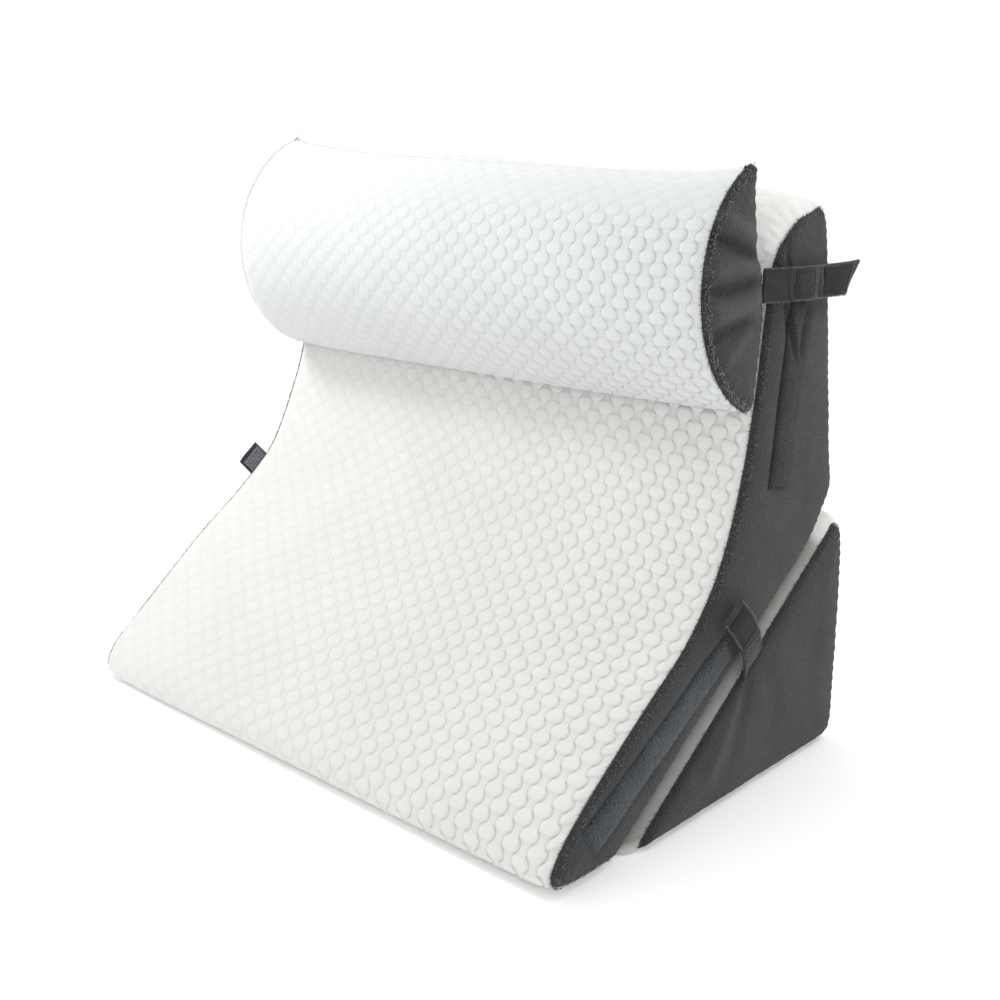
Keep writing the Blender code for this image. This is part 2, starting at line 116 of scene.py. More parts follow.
Span = namedtuple("Span", "start_y start_z step")
Cover = namedtuple(
    "Cover", "stem half_width fill knit slot spans corners columns rows smooth crease folds tufts")
Smooth = namedtuple("Smooth", "y z reach depth")
Corner = namedtuple("Corner", "y_right z_right y_left z_left")
Fold = namedtuple("Fold", "y_start z_start y_end z_end height width")
Tufts = namedtuple("Tufts", "pile width")
Station = namedtuple("Station", "x y z lean")
StripEnd = namedtuple("StripEnd", "y_top z_top y_bottom z_bottom")
Patch = namedtuple("Patch", "start end")
Light = namedtuple("Light", "name place target size power")

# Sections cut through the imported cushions, by their distance from an end
SECTION_PLACES = (0.0002, 0.0038, 0.0090, 0.0193, 0.0350, 0.0590, 0.1075, 0.1930)
CUT_SHIFT = 0.00013
SECTION_POINTS = 500
SECTION_STEP = 0.0035
NEAR_POINTS = 0.0012
STRAIGHT = 0.006
RIM_POINTS = 240
SAME_CORNER = 1e-5
SAME_POINT = 1e-6
ON_PLANE = 1e-7

# How far apart a cover's rows stand: out of sight, where the knit shows, and elsewhere
HIDDEN = 0.0110
FINE = 0.00235
PLAIN = 0.0030

# Where each cover's rows start and how far apart they stand, going up the front
BACK_SPANS = [
    Span(-0.256, 0.000, FINE),
    Span(-0.054, 0.345, HIDDEN),
    Span(-0.036, 0.470, PLAIN),
    Span(0.046, 0.191, HIDDEN),
]
BASE_SPANS = [
    Span(-0.226, 0.000, HIDDEN),
    Span(0.078, 0.209, PLAIN),
    Span(0.080, 0.003, HIDDEN),
]
NECK_SPANS = [
    Span(-0.062, 0.326, FINE),
    Span(-0.056, 0.520, HIDDEN),
]

# Corners of the end panels, where the front, top, rear and underside of each meet
BACK_CORNERS = [
    Corner(-0.3040, 0.0040, -0.3010, 0.0000),
    Corner(-0.0375, 0.4450, -0.0220, 0.4700),
    Corner(0.0595, 0.4780, 0.0780, 0.5080),
    Corner(-0.2400, 0.0000, -0.2400, 0.0000),
]
BASE_CORNERS = [
    Corner(-0.2265, 0.0000, -0.2265, 0.0000),
    Corner(0.0780, 0.2094, 0.0780, 0.2094),
    Corner(0.0963, 0.1970, 0.0963, 0.1970),
    Corner(0.0800, 0.0030, 0.0800, 0.0030),
]
NECK_CORNERS = [
    Corner(-0.0700, 0.3267, -0.0510, 0.3192),
    Corner(-0.0709, 0.5289, -0.0491, 0.5455),
    Corner(-0.0560, 0.5270, -0.0360, 0.5430),
    Corner(-0.0560, 0.3307, -0.0450, 0.3232),
]

# Where a cover is pulled smooth near its ends: a place, how far round it and how far in
BACK_SMOOTH = [Smooth(0.010, 0.490, 0.060, 0.060)]
BASE_SMOOTH = [Smooth(-0.070, 0.110, 0.220, 0.030)]
NECK_SMOOTH = [Smooth(-0.092, 0.524, 0.044, 3.0)]

# How much of the relief shows: FAINT at least, growing over a span from the left to the right
FAINT = 0.12
LEFT_SHARE = 0.08
RELIEF_SPAN = (-0.28, 0.26)
RELIEF_EASE = 1.4

# The part of the base wedge's slope that lies in the crease beside the back cushion, given painted
# shade that fades in at the span's ends, reaches in from the end seam and leaves a painted lighter
# rim at the seam
BASE_CREASE = [(-0.240, 0.001), (0.060, 0.196)]
CREASE_SHADE_FADE = 0.010
PAINTED_RIM_REACH = 0.008
CREASE_SHADE_REACH = 0.030
RIM_LIGHT = 0.36

# Soft ridges (height above 0) and valleys of the velour ends, each along a line in (y, z)
ROLL_FOLDS = [
    Fold(-0.116, 0.496, -0.062, 0.470, 0.0034, 0.0075),
    Fold(-0.126, 0.472, -0.062, 0.457, -0.0044, 0.0065),
    Fold(-0.130, 0.449, -0.058, 0.446, 0.0034, 0.0070),
    Fold(-0.130, 0.434, -0.062, 0.432, -0.0042, 0.0055),
    Fold(-0.128, 0.410, -0.056, 0.424, 0.0036, 0.0085),
    Fold(-0.124, 0.392, -0.072, 0.405, -0.0030, 0.0070),
    Fold(-0.108, 0.374, -0.070, 0.394, 0.0018, 0.0070),
]
BACK_FOLDS = [
    Fold(-0.009, 0.484, -0.010, 0.430, -0.0022, 0.0026),
    Fold(-0.017, 0.418, 0.000, 0.362, -0.0030, 0.0034),
    Fold(-0.012, 0.412, 0.006, 0.360, 0.0014, 0.0060),
    Fold(0.020, 0.410, 0.010, 0.364, -0.0022, 0.0070),
    Fold(-0.240, 0.040, -0.190, 0.062, -0.0008, 0.0060),
    Fold(-0.150, 0.100, -0.118, 0.128, -0.0008, 0.0080),
]
BASE_FOLDS = [
    Fold(-0.072, 0.096, -0.125, 0.034, 0.0018, 0.0060),
    Fold(-0.062, 0.098, -0.098, 0.030, -0.0012, 0.0080),
    Fold(-0.040, 0.118, -0.020, 0.040, -0.0007, 0.0120),
    Fold(0.060, 0.170, 0.030, 0.080, -0.0008, 0.0140),
]

# Loop strips on the ends of the back cushion
UPPER_STRIP = StripEnd(0.0045, 0.414, -0.0245, 0.2535)
LOWER_STRIP = StripEnd(-0.0920, 0.133, -0.2720, 0.0310)
STRIP_WIDTH = 0.026
STRIP_THICKNESS = 0.0014
STRIP_BACKING = 0.0011
STRIP_LIFT = 0.0004
STRIP_EDGE = 0.0016
STRIP_INSET = 0.0022
STRIP_SEAM_DEPTH = 0.0005
STRIP_SEAM_WIDTH = 0.0007
STRIP_COLUMNS = 17
LOOP_HEIGHT = 0.0005
LOOP_RATE = 420.0
LOOP_SEED = 3.0

# Straps, by the places of their middle line and how far their width leans from upright
NECK_STRAP = [
    Station(0.3044, -0.0500, 0.4305, 4.0),
    Station(0.3115, -0.0300, 0.4305, 4.0),
    Station(0.3170, 0.0000, 0.4300, 6.0),
    Station(0.3145, 0.0280, 0.4292, 8.0),
    Station(0.3170, 0.0560, 0.4290, 20.0),
    Station(0.3155, 0.0765, 0.4293, 40.0),
]
NECK_STRAP_LEFT_SHIFT = 0.0135
BASE_STRAP = [
    Station(0.3071, -0.0577, 0.1105, 53.0),
    Station(0.3125, -0.0655, 0.1240, 54.0),
    Station(0.3155, -0.0770, 0.1410, 56.0),
    Station(0.3185, -0.0930, 0.1570, 58.0),
    Station(0.3175, -0.1045, 0.1690, 58.0),
]
LOOSE_STRAP = [
    Station(0.3075, -0.0500, 0.1160, 53.0),
    Station(0.3135, -0.0580, 0.1300, 52.0),
    Station(0.3200, -0.0670, 0.1490, 51.0),
    Station(0.3360, -0.0740, 0.1690, 50.0),
    Station(0.3620, -0.0775, 0.1855, 50.0),
]
ROUTE_STEPS = 8
STRAP_WIDTH = 0.029
STRAP_THICKNESS = 0.0030
STRAP_COLUMNS = 15
STRAP_FOLD = 0.0010
STRAP_FOLD_INSET = 0.0014
STRAP_WAVE = 0.0004
STRAP_WAVE_RATES = (190.0, 260.0)
SEAM_RIDGE_WIDTH = 0.0014
SEAM_RIDGE_SLANT = 0.12
RIBBON_STEP = 0.0013
EDGE_ROUND = 0.7
EDGE_THIN = 0.85
UNDERSIDE_SLACK = 0.0004
UNDERSIDE_SHIFT = 0.1

# Patches sewn on the straps, by shares of the strap's length, and the ridges before each
NECK_PATCHES = [Patch(0.26, 0.475), Patch(0.61, 0.93)]
BASE_PATCHES = [Patch(0.46, 0.93)]
PATCH_RIDGES = ((0.0018, 0.0008), (0.0060, 0.0013))
PATCH_SINK = 0.0002
PATCH_COLUMNS = 17
PATCH_SEAM_INSET = 0.0024
PATCH_SEAM_DEPTH = 0.0008
INWARD_TOP = -0.0003
HOOK_WIDTH = 0.0245
HOOK_THICKNESS = 0.0012

STITCH_LENGTH = 0.0021
STITCH_WIDTH = 0.00080
STITCH_PITCH = 0.0030
STITCH_SINK = 0.0004
BOX_SPACING = 0.006

# Pile fibres: the mesh of one, and how they stand along seams and straps
FIBRE_ROOT = 0.00028
FIBRE_TIP = 0.00006
FIBRE_PITCH = 0.00070
FIBRE_SCATTER = 0.0004
FIBRE_SIZES = (0.0016, 0.0042)
FIBRE_ROOTS = (0.0002, 0.0022)
REAR_FIBRES = 0.45
EDGE_FIBRE_PITCH = 0.00060
EDGE_FIBRE_BAND = 0.003
EDGE_FIBRE_SIZES = (0.0008, 0.0018)
EDGE_FIBRE_WIDTH = 0.8
EDGE_FIBRE_START = 0.001
EDGE_FIBRE_LIFT = 0.0002
TUFT_PITCH = 0.00055
TUFT_BAND = (0.0010, 0.0060)
TUFT_SIZES = (0.0012, 0.0032)
TUFT_FRONT = -0.35
LOOK_AHEAD = 0.002
FLOOR_CLEAR = 0.004
LEFT_FIBRES = 0.4

SIDES = (("right", 1), ("left", -1))

# Camera, floor and light
CAMERA_PLACE = (0.903, -1.017, 0.559)
CAMERA_TURN = (82.8, 0.2, 42.7)
LENS = 49.1
SENSOR = 36.0
SHIFT_UP = -0.2
FLOOR_SIZE = 6.0
FLOOR_DROP = 0.0008
FLOOR_GLOW = 0.12
LIGHTS = [
    Light("key_left", (-0.68, -0.45, 1.0), (-0.15, -0.15, 0.3), 0.25, 5.0),
    Light("back_right", (0.66, 0.50, 1.02), (0.32, -0.05, 0.4), 0.30, 3.0),
]


# Shader helpers


def group_with(name, inputs, outputs):
    """An empty shader group with named number sockets."""
    group = bpy.data.node_groups.new(name, "ShaderNodeTree")
    for label in inputs:
        group.interface.new_socket(label, in_out="INPUT", socket_type="NodeSocketFloat")
    for label in outputs:
        group.interface.new_socket(label, in_out="OUTPUT", socket_type="NodeSocketFloat")
    return group, group.nodes.new("NodeGroupInput"), group.nodes.new("NodeGroupOutput")


def maths(tree, operation, first, second=None, third=None):
    """A Math node fed by sockets or numbers, and its result."""
    node = tree.nodes.new("ShaderNodeMath")
    node.operation = operation
    for socket, value in zip(node.inputs, (first, second, third)):
        if value is None:
            continue
        if isinstance(value, (int, float)):
            socket.default_value = value
        else:
            tree.links.new(value, socket)
    return node.outputs[0]


def ramp(tree, value, low, high):
    """A smooth step from 0 at low to 1 at high."""
    node = tree.nodes.new("ShaderNodeMapRange")
    node.interpolation_type = "SMOOTHSTEP"
    node.inputs["From Min"].default_value = low
    node.inputs["From Max"].default_value = high
    tree.links.new(value, node.inputs["Value"])
    return node.outputs["Result"]


def mixed(tree, share, first, second):
    """A colour between two, each a socket or an (r, g, b)."""
    node = tree.nodes.new("ShaderNodeMix")
    node.data_type = "RGBA"
    tree.links.new(share, node.inputs["Factor"])
    for socket, value in ((node.inputs[6], first), (node.inputs[7], second)):
        if isinstance(value, tuple):
            socket.default_value = (*value, 1.0)
        else:
            tree.links.new(value, socket)
    return node.outputs[2]


def cloud(tree, vector, scale, detail=2.0, roughness=0.5):
    """Soft noise on a vector, and its value."""
    node = tree.nodes.new("ShaderNodeTexNoise")
    node.inputs["Scale"].default_value = scale
    node.inputs["Detail"].default_value = detail
    node.inputs["Roughness"].default_value = roughness
    tree.links.new(vector, node.inputs["Vector"])
    return node.outputs["Fac"]


def attribute(tree, name):
    """A value written on the piece's points."""
    node = tree.nodes.new("ShaderNodeAttribute")
    node.attribute_name = name
    return node.outputs["Fac"]


def set_inputs(node, values):
    """Set a node's unlinked sockets by name."""
    for label, value in values.items():
        node.inputs[label].default_value = value


def make_bubble_group():
    """Height of the bubble knit in metres, and a mask of its grooves."""
    group, given, made = group_with(
        "bubble_knit", ["Across", "Along", "Relief", "Yarn"], ["Height", "Groove"])
    across, along = given.outputs["Across"], given.outputs["Along"]

    def join(operation, *values):
        return maths(group, operation, *values)

    column = join("DIVIDE", across, COLUMN)
    number = join("ROUND", column)
    offset = join("ABSOLUTE", join("SUBTRACT", column, number))
    turn = join("MULTIPLY_ADD", number, 0.5, join("DIVIDE", along, REPEAT))
    wave = join("COSINE", join("MULTIPLY", turn, 2.0 * pi))
    flattened = join("SQRT", join(
        "MULTIPLY_ADD", join("MULTIPLY", wave, wave), SQUARED ** 2 - 1.0, 1.0))
    swing = join("DIVIDE", join("MULTIPLY", wave, SQUARED), flattened)
    inside = join("LESS_THAN", offset, join("MULTIPLY_ADD", swing, WAVE, 0.5))
    phase = join("MULTIPLY", swing, join("MULTIPLY_ADD", inside, 2.0, -1.0))
    own = join("ADD", join("MULTIPLY", inside, offset),
               join("MULTIPLY", join("SUBTRACT", 1.0, inside), join("SUBTRACT", 1.0, offset)))
    side = join("MINIMUM", join("DIVIDE", own, join("MULTIPLY_ADD", phase, WAVE, 0.5)), 1.0)
    dome = join("SUBTRACT", 1.0, join("POWER", side, FLATNESS))
    bubble = ramp(group, phase, *BUBBLE_PHASES)
    level = join("MULTIPLY_ADD", bubble, 1.0 - NECK_LEVEL, NECK_LEVEL)
    relief = join("MULTIPLY", join("MULTIPLY", dome, level), given.outputs["Relief"])
    rising, falling = [
        join("SINE", join("MULTIPLY", join(way, across, along), 2.0 * pi / NET_PITCH))
        for way in ("ADD", "SUBTRACT")]
    net = join("MULTIPLY", join("MULTIPLY", rising, falling),
               join("MULTIPLY_ADD", bubble, -NET_LOSS, 1.0))
    wales = join("SINE", join("MULTIPLY", across, 2.0 * pi / WALE_PITCH))
    thread = join("MULTIPLY_ADD", wales, WALE_SHARE, net)
    height = join("MULTIPLY_ADD", thread, given.outputs["Yarn"], relief)
    group.links.new(height, made.inputs["Height"])
    group.links.new(join("POWER", side, GROOVE_SHARPNESS), made.inputs["Groove"])
    return group


def make_pile_group():
    """Brushed pile: fibre height in metres, a mask of the brushed patches and grain."""
    group, given, made = group_with("brushed_pile", ["Fibre"], ["Height", "Brushed", "Grain"])
    place = group.nodes.new("ShaderNodeTexCoord").outputs["UV"]
    mapping = group.nodes.new("ShaderNodeMapping")
    set_inputs(mapping, {"Rotation": COMB_TURN, "Scale": COMB_STRETCH})
    group.links.new(place, mapping.inputs["Vector"])
    combed = mapping.outputs["Vector"]
    patches = cloud(group, place, scale=16.0, detail=3.0, roughness=0.55)
    streaks = cloud(group, place, scale=60.0)
    tufts = cloud(group, combed, scale=760.0, roughness=0.6)
    fibres = cloud(group, combed, scale=1300.0, detail=1.0, roughness=0.6)
    brushed = maths(group, "ADD", maths(group, "MULTIPLY", patches, PATCHY),
                    maths(group, "MULTIPLY", streaks, 1.0 - PATCHY))
    height = maths(group, "MULTIPLY_ADD", tufts, TUFTY, fibres)
    group.links.new(maths(group, "MULTIPLY", height, given.outputs["Fibre"]),
                    made.inputs["Height"])
    group.links.new(ramp(group, brushed, low=0.32, high=0.68), made.inputs["Brushed"])
    group.links.new(ramp(group, tufts, low=0.36, high=0.64), made.inputs["Grain"])
    return group


BUBBLES = make_bubble_group()
PILE = make_pile_group()


def new_material(name):
    """A material and its Principled shader."""
    material = bpy.data.materials.new(name)
    material.use_nodes = True
    return material, material.node_tree, material.node_tree.nodes["Principled BSDF"]


def add_bump(tree, shader, height):
    """Feed a height in metres to the shader's normal."""
    bump = tree.nodes.new("ShaderNodeBump")
    set_inputs(bump, {"Distance": 1.0, "Strength": 1.0})
    tree.links.new(height, bump.inputs["Height"])
    tree.links.new(bump.outputs["Normal"], shader.inputs["Normal"])


def knit_material(name, light, shade):
    """White bubble knit: puffed bubbles, netted necks, grooves darkened with painted shade, random
    worn patches and painted shade in the crease beside the next cushion.
    """
    material, tree, shader = new_material(name)
    place = tree.nodes.new("ShaderNodeTexCoord").outputs["UV"]
    split = tree.nodes.new("ShaderNodeSeparateXYZ")
    tree.links.new(place, split.inputs["Vector"])
    puffed = attribute(tree, "puffed")
    knit = tree.nodes.new("ShaderNodeGroup")
    knit.node_tree = BUBBLES
    knit.inputs["Yarn"].default_value = YARN
    tree.links.new(maths(tree, "MULTIPLY", puffed, KNIT_BUMP), knit.inputs["Relief"])
    tree.links.new(split.outputs["X"], knit.inputs["Across"])
    tree.links.new(split.outputs["Y"], knit.inputs["Along"])
    worn = ramp(tree, cloud(tree, place, scale=9.0, detail=3.0), low=0.30, high=0.75)
    # Painted shade in the grooves between the bubbles, less where the relief is faint
    groove = maths(tree, "MULTIPLY", maths(tree, "MULTIPLY", knit.outputs["Groove"], GROOVE_SHADE),
                   puffed)
    shaded = maths(tree, "MULTIPLY_ADD", worn, WORN_SHADE, groove)
    worn_and_groove_shaded_white = mixed(tree, shaded, light, shade)
    # Painted shade where the cover lies in the crease beside the next cushion
    tree.links.new(mixed(tree, attribute(tree, "painted_crease_shade"), worn_and_groove_shaded_white, CREASE_SHADE_COLOUR),
                   shader.inputs["Base Color"])
    add_bump(tree, shader, knit.outputs["Height"])
    set_inputs(shader, {"Roughness": 0.85, "Specular IOR Level": 0.25, "Sheen Weight": 0.20,
                        "Sheen Roughness": 0.45})
    return material


def pile_material(name, dark, light, fibre, sheen, grain=0.45, fold_shade_share=0.0):
    """Short dark pile, brushed this way and that, with painted light on the folds' ridges and painted
    shade in their valleys.
    """
    material, tree, shader = new_material(name)
    pile = tree.nodes.new("ShaderNodeGroup")
    pile.node_tree = PILE
    pile.inputs["Fibre"].default_value = fibre
    share = maths(tree, "MULTIPLY_ADD", pile.outputs["Grain"], grain,
                  maths(tree, "MULTIPLY", pile.outputs["Brushed"], 1.0 - grain))
    # Painted light on fold ridges and painted shade in fold valleys
    if fold_shade_share:
        share = maths(tree, "MULTIPLY_ADD", share, 1.0 - fold_shade_share,
                      maths(tree, "MULTIPLY", attribute(tree, "painted_fold_shade"), fold_shade_share))
    tree.links.new(mixed(tree, share, dark, light), shader.inputs["Base Color"])
    add_bump(tree, shader, pile.outputs["Height"])
    set_inputs(shader, {"Roughness": 0.95, "Specular IOR Level": 0.12, "Sheen Weight": sheen,
                        "Sheen Roughness": 0.35})
    return material


# Knit, from its light to its shaded colour, and pile, from its dark to its light colour
WARM_KNIT = knit_material("warm_white_bubble_knit", (0.705, 0.695, 0.678), (0.46, 0.45, 0.43))
COOL_KNIT = knit_material("cool_white_bubble_knit", (0.675, 0.690, 0.700), (0.46, 0.48, 0.50))
VELOUR = pile_material("grey_velour", (0.012, 0.013, 0.014), (0.072, 0.075, 0.073),
                       fibre=0.0010, sheen=0.20, grain=0.50, fold_shade_share=0.66)
STRAP_VELOUR = pile_material("strap_velour", (0.026, 0.028, 0.028), (0.052, 0.054, 0.053),
                             fibre=0.0005, sheen=0.20)
SEWN_VELOUR = pile_material("stitched_velour", (0.024, 0.024, 0.024), (0.046, 0.046, 0.045),
                            fibre=0.0005, sheen=0.10, grain=0.70)
LOOP_PILE = pile_material("blue_grey_loop_pile", (0.028, 0.031, 0.036), (0.074, 0.083, 0.098),
                          fibre=0.0008, sheen=0.25, grain=0.70)
# A darker copy of the loop pile: painted shade for the upper strips, under the roll and strap
SHADED_LOOP_PILE = pile_material("painted_shade_loop_pile", (0.018, 0.019, 0.021), (0.044, 0.047, 0.052),
                               fibre=0.0008, sheen=0.12, grain=0.60)
HOOK_TAPE = pile_material("dark_hook_tape", (0.018, 0.018, 0.018), (0.036, 0.036, 0.035),
                          fibre=0.0004, sheen=0.08, grain=0.70)
PALE_HOOK_TAPE = pile_material("blue_grey_hook_tape", (0.080, 0.082, 0.095),
                               (0.220, 0.224, 0.250), fibre=0.0006, sheen=0.20, grain=0.80)
THREAD = pile_material("dark_sewing_thread", (0.012, 0.013, 0.013), (0.030, 0.031, 0.031),
                       fibre=0.0001, sheen=0.05)
FIBRE = pile_material("velour_fibre", (0.030, 0.033, 0.034), (0.075, 0.079, 0.080),
                      fibre=0.0, sheen=0.20)
# The pale colours of these tufts and fibres are painted sheen on the dark velour's pile
SHEEN_TUFT = pile_material("painted_sheen_velour_tuft", (0.030, 0.033, 0.034), (0.420, 0.430, 0.430),
                     fibre=0.0, sheen=0.20, grain=0.85)
SHEEN_FIBRE = pile_material("painted_sheen_edge_fibre", (0.110, 0.116, 0.116), (0.300, 0.310, 0.310),
                           fibre=0.0, sheen=0.30)

COVERS = [
    Cover("back", half_width=0.300, fill=0.9, knit=WARM_KNIT, slot="warm_knit",
          spans=BACK_SPANS, corners=BACK_CORNERS, columns=44, rows=180, smooth=BACK_SMOOTH,
          crease=(), folds=BACK_FOLDS, tufts=Tufts(SHEEN_FIBRE, width=0.9)),
    Cover("base", half_width=0.305, fill=0.9, knit=WARM_KNIT, slot="warm_knit",
          spans=BASE_SPANS, corners=BASE_CORNERS, columns=44, rows=110, smooth=BASE_SMOOTH,
          crease=BASE_CREASE, folds=BASE_FOLDS, tufts=None),
    Cover("neck", half_width=0.300, fill=0.8, knit=COOL_KNIT, slot="cool_knit",
          spans=NECK_SPANS, corners=NECK_CORNERS, columns=50, rows=130, smooth=NECK_SMOOTH,
          crease=(), folds=ROLL_FOLDS, tufts=Tufts(SHEEN_TUFT, width=1.7)),
]


# Meshes and pieces

def mesh_of(name, shape):
    """A bmesh's shape as a mesh."""
    mesh = bpy.data.meshes.new(name)
    shape.to_mesh(mesh)
    shape.free()
    return mesh


def placed(name, data):
    """An object in the scene."""
    thing = bpy.data.objects.new(name, data)
    bpy.context.scene.collection.objects.link(thing)
    return thing


def finish_piece(name, shape, material):
    """Turn a bmesh into a piece that rides with the pillow."""
    mesh = mesh_of(name, shape)
    mesh.polygons.foreach_set("use_smooth", [True] * len(mesh.polygons))
    mesh.materials.append(material)
    piece = placed(name, mesh)
    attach(piece, "root")
    return piece


def cloth_shape(points, cloth, columns):
    """A grid through rows of points, with their places on the cloth as its UV map."""
    points = points.reshape(-1, 3)
    cloth = cloth.reshape(-1, 2)
    shape = bmesh.new()
    bmesh.ops.create_grid(shape, x_segments=columns - 1,
                          y_segments=len(points) // columns - 1, size=0.5)
    shape.verts.ensure_lookup_table()
    shape.verts.index_update()
    for vert in shape.verts:
        vert.co = points[vert.index]
    layer = shape.loops.layers.uv.new("cloth")
    for face in shape.faces:
        for loop in face.loops:
            loop[layer].uv = cloth[loop.vert.index]
    return shape


def paint(shape, name, values):
    """Write a value on each of the shape's points."""
    layer = shape.verts.layers.float.new(name)
    for vert, value in zip(shape.verts, values.ravel()):
        vert[layer] = value


def close_tube(shape):
    """Merge a grid along the seam where it comes round, cap its ends and turn it outwards."""
    bmesh.ops.remove_doubles(shape, verts=shape.verts, dist=SAME_POINT)
    rims = [edge for edge in shape.edges if edge.is_boundary]
    bmesh.ops.holes_fill(shape, edges=rims, sides=0)
    bmesh.ops.recalc_face_normals(shape, faces=shape.faces)


def face_end(shape, side):
    """Turn a grid's faces towards its end of the pillow."""
    bmesh.ops.recalc_face_normals(shape, faces=shape.faces)
    if sum(face.normal.x for face in shape.faces) * side < 0:
        bmesh.ops.reverse_faces(shape, faces=shape.faces)


def thicken(piece, name, thickness):
    """Give a sheet its thickness, behind the face that shows."""
    solidify = piece.modifiers.new(name, "SOLIDIFY")
    solidify.thickness = thickness
    solidify.offset = -1.0


def rise(values, low, high):
    """From 0 at low to 1 at high, and level outside."""
    return np.clip((values - low) / (high - low), 0.0, 1.0)


def smooth_rise(values, low, high):
    """From 0 at low to 1 at high, with soft ends."""
    share = rise(values, low, high)
    return share * share * (3.0 - 2.0 * share)


def uneven(places, rate, seed):
    """Soft noise from -1 to 1 at each (y, z)."""
    return np.array([noise.noise(Vector((y * rate, z * rate, seed))) for y, z in places])


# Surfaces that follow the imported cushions

def spline_weights(knots, places, period=None):
    """Weights that turn values at the knots into a smooth curve through them."""
    count = len(knots)
    weights = np.zeros((len(places), count))

    def knot(index):
        if period is None:
            return knots[min(max(index, 0), count - 1)]
        return knots[index % count] + period * (index // count)

    def column(index):
        return index % count if period is not None else min(max(index, 0), count - 1)

    for row, place in enumerate(places):
        at = place if period is None else place % period
        low = int(np.searchsorted(knots, at, side="right")) - 1
        if period is None:
            low = min(max(low, 0), count - 2)
        size = knot(low + 1) - knot(low)
        t = (at - knot(low)) / size
        weights[row, column(low)] += 2 * t ** 3 - 3 * t ** 2 + 1
        weights[row, column(low + 1)] += -2 * t ** 3 + 3 * t ** 2
        for index, bend in ((low, t ** 3 - 2 * t ** 2 + t), (low + 1, t ** 3 - t ** 2)):
            spread = knot(index + 1) - knot(index - 1)
            weights[row, column(index + 1)] += bend * size / spread
            weights[row, column(index - 1)] -= bend * size / spread
    return weights


def packed_section(solid, x):
    """The closed outline, as (y, z), where a plane across the width cuts a solid."""
    shape = solid.copy()
    geometry = shape.verts[:] + shape.edges[:] + shape.faces[:]
    cut = bmesh.ops.bisect_plane(
        shape, geom=geometry, dist=ON_PLANE, plane_co=(x, 0.0, 0.0), plane_no=(1.0, 0.0, 0.0))
    left = {one for one in cut["geom_cut"] if isinstance(one, bmesh.types.BMEdge)}
    vert = min((vert for edge in left for vert in edge.verts), key=lambda one: one.co[1:])
    loop = []
    while True:
        loop.append(vert.co[1:])
        step = next((edge for edge in vert.link_edges if edge in left), None)
        if step is None:
            break
        left.discard(step)
        vert = step.other_vert(vert)
    shape.free()
    outline = np.array(loop)
    y, z = outline[:, 0], outline[:, 1]
    area = np.sum(y * np.roll(z, -1) - np.roll(y, -1) * z)
    return outline if area < 0 else outline[::-1]


def clean_outline(outline):
    """The outline's real corners: near points merged, and points on straights left out."""
    kept = [outline[0]]
    for point in outline[1:]:
        if np.linalg.norm(point - kept[-1]) > NEAR_POINTS:
            kept.append(point)
    while np.linalg.norm(kept[-1] - kept[0]) < NEAR_POINTS:
        kept.pop()
    points = np.array(kept)
    before = points - np.roll(points, 1, axis=0)
    after = np.roll(points, -1, axis=0) - points
    turn = np.abs(before[:, 0] * after[:, 1] - before[:, 1] * after[:, 0])
    turn /= np.linalg.norm(before, axis=1) * np.linalg.norm(after, axis=1)
    return points[turn > STRAIGHT]


def round_lengths(points):
    """How far each point of a closed outline is round it, and the whole length."""
    steps = np.linalg.norm(np.roll(points, -1, axis=0) - points, axis=1)
    return np.concatenate([[0.0], np.cumsum(steps)[:-1]]), float(steps.sum())


class Body:
    """A packed cushion as a smooth surface of x and the length round its section."""

    def __init__(self, node, half_width, corners):
        self.half_width = half_width
        solid = bmesh.new()
        solid.from_mesh(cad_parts[node].data)
        bmesh.ops.remove_doubles(solid, verts=solid.verts, dist=SAME_CORNER)
        from_ends = np.array([place for place in SECTION_PLACES if place < half_width])
        self.stations = np.concatenate([
            -half_width + from_ends, [CUT_SHIFT], half_width - from_ends[::-1]])
        parts, lengths = [], []
        for x in self.stations:
            share = (x + half_width) / (2.0 * half_width)
            marks = [(corner.y_left + (corner.y_right - corner.y_left) * share,
                      corner.z_left + (corner.z_right - corner.z_left) * share)
                     for corner in corners]
            outline = clean_outline(packed_section(solid, x + CUT_SHIFT))
            knots, whole = round_lengths(outline)
            smooth = spline_weights(knots, np.arange(SECTION_POINTS) / SECTION_POINTS * whole,
                                    whole) @ outline
            knots, whole = round_lengths(smooth)
            starts = [knots[int(np.argmin(np.hypot(smooth[:, 0] - y, smooth[:, 1] - z)))]
                      for y, z in marks]
            pieces = []
            for start, end in zip(starts, starts[1:] + starts[:1]):
                end += whole if end < start else 0.0
                pieces.append(end - start)
            lengths.append(pieces)
            parts.append((smooth, knots, whole, starts))
        solid.free()
        self.sides = np.array(lengths).mean(axis=0)
        self.marks = np.concatenate([[0.0], np.cumsum(self.sides)])
        self.length = float(self.marks[-1])
        count = round(self.length / SECTION_STEP)
        self.knots = np.arange(count) * self.length / count
        self.rings = np.zeros((len(parts), count, 3))
        for index, (smooth, knots, whole, starts) in enumerate(parts):
            side = np.searchsorted(self.marks, self.knots, side="right") - 1
            share = (self.knots - self.marks[side]) / self.sides[side]
            places = np.array(starts)[side] + share * np.array(lengths[index])[side]
            self.rings[index, :, 0] = self.stations[index]
            self.rings[index, :, 1:] = spline_weights(knots, places, whole) @ smooth

    def length_at(self, y, z):
        """How far round the section a place is."""
        middle = self.rings[len(self.rings) // 2]
        return float(self.knots[int(np.argmin(np.hypot(middle[:, 1] - y, middle[:, 2] - z)))])

    def points(self, places_x, lengths):
        """Surface points as an array of rows by columns by 3."""
        across = spline_weights(self.stations, places_x)
        around = spline_weights(self.knots, lengths, self.length)
        return np.einsum("cr,rpk,lp->lck", across, self.rings, around, optimize=True)

    def outline(self, side, lengths):
        """The end seam's (y, z) on one side."""
        ring = self.rings[-1] if side > 0 else self.rings[0]
        return (spline_weights(self.knots, lengths, self.length) @ ring)[:, 1:]


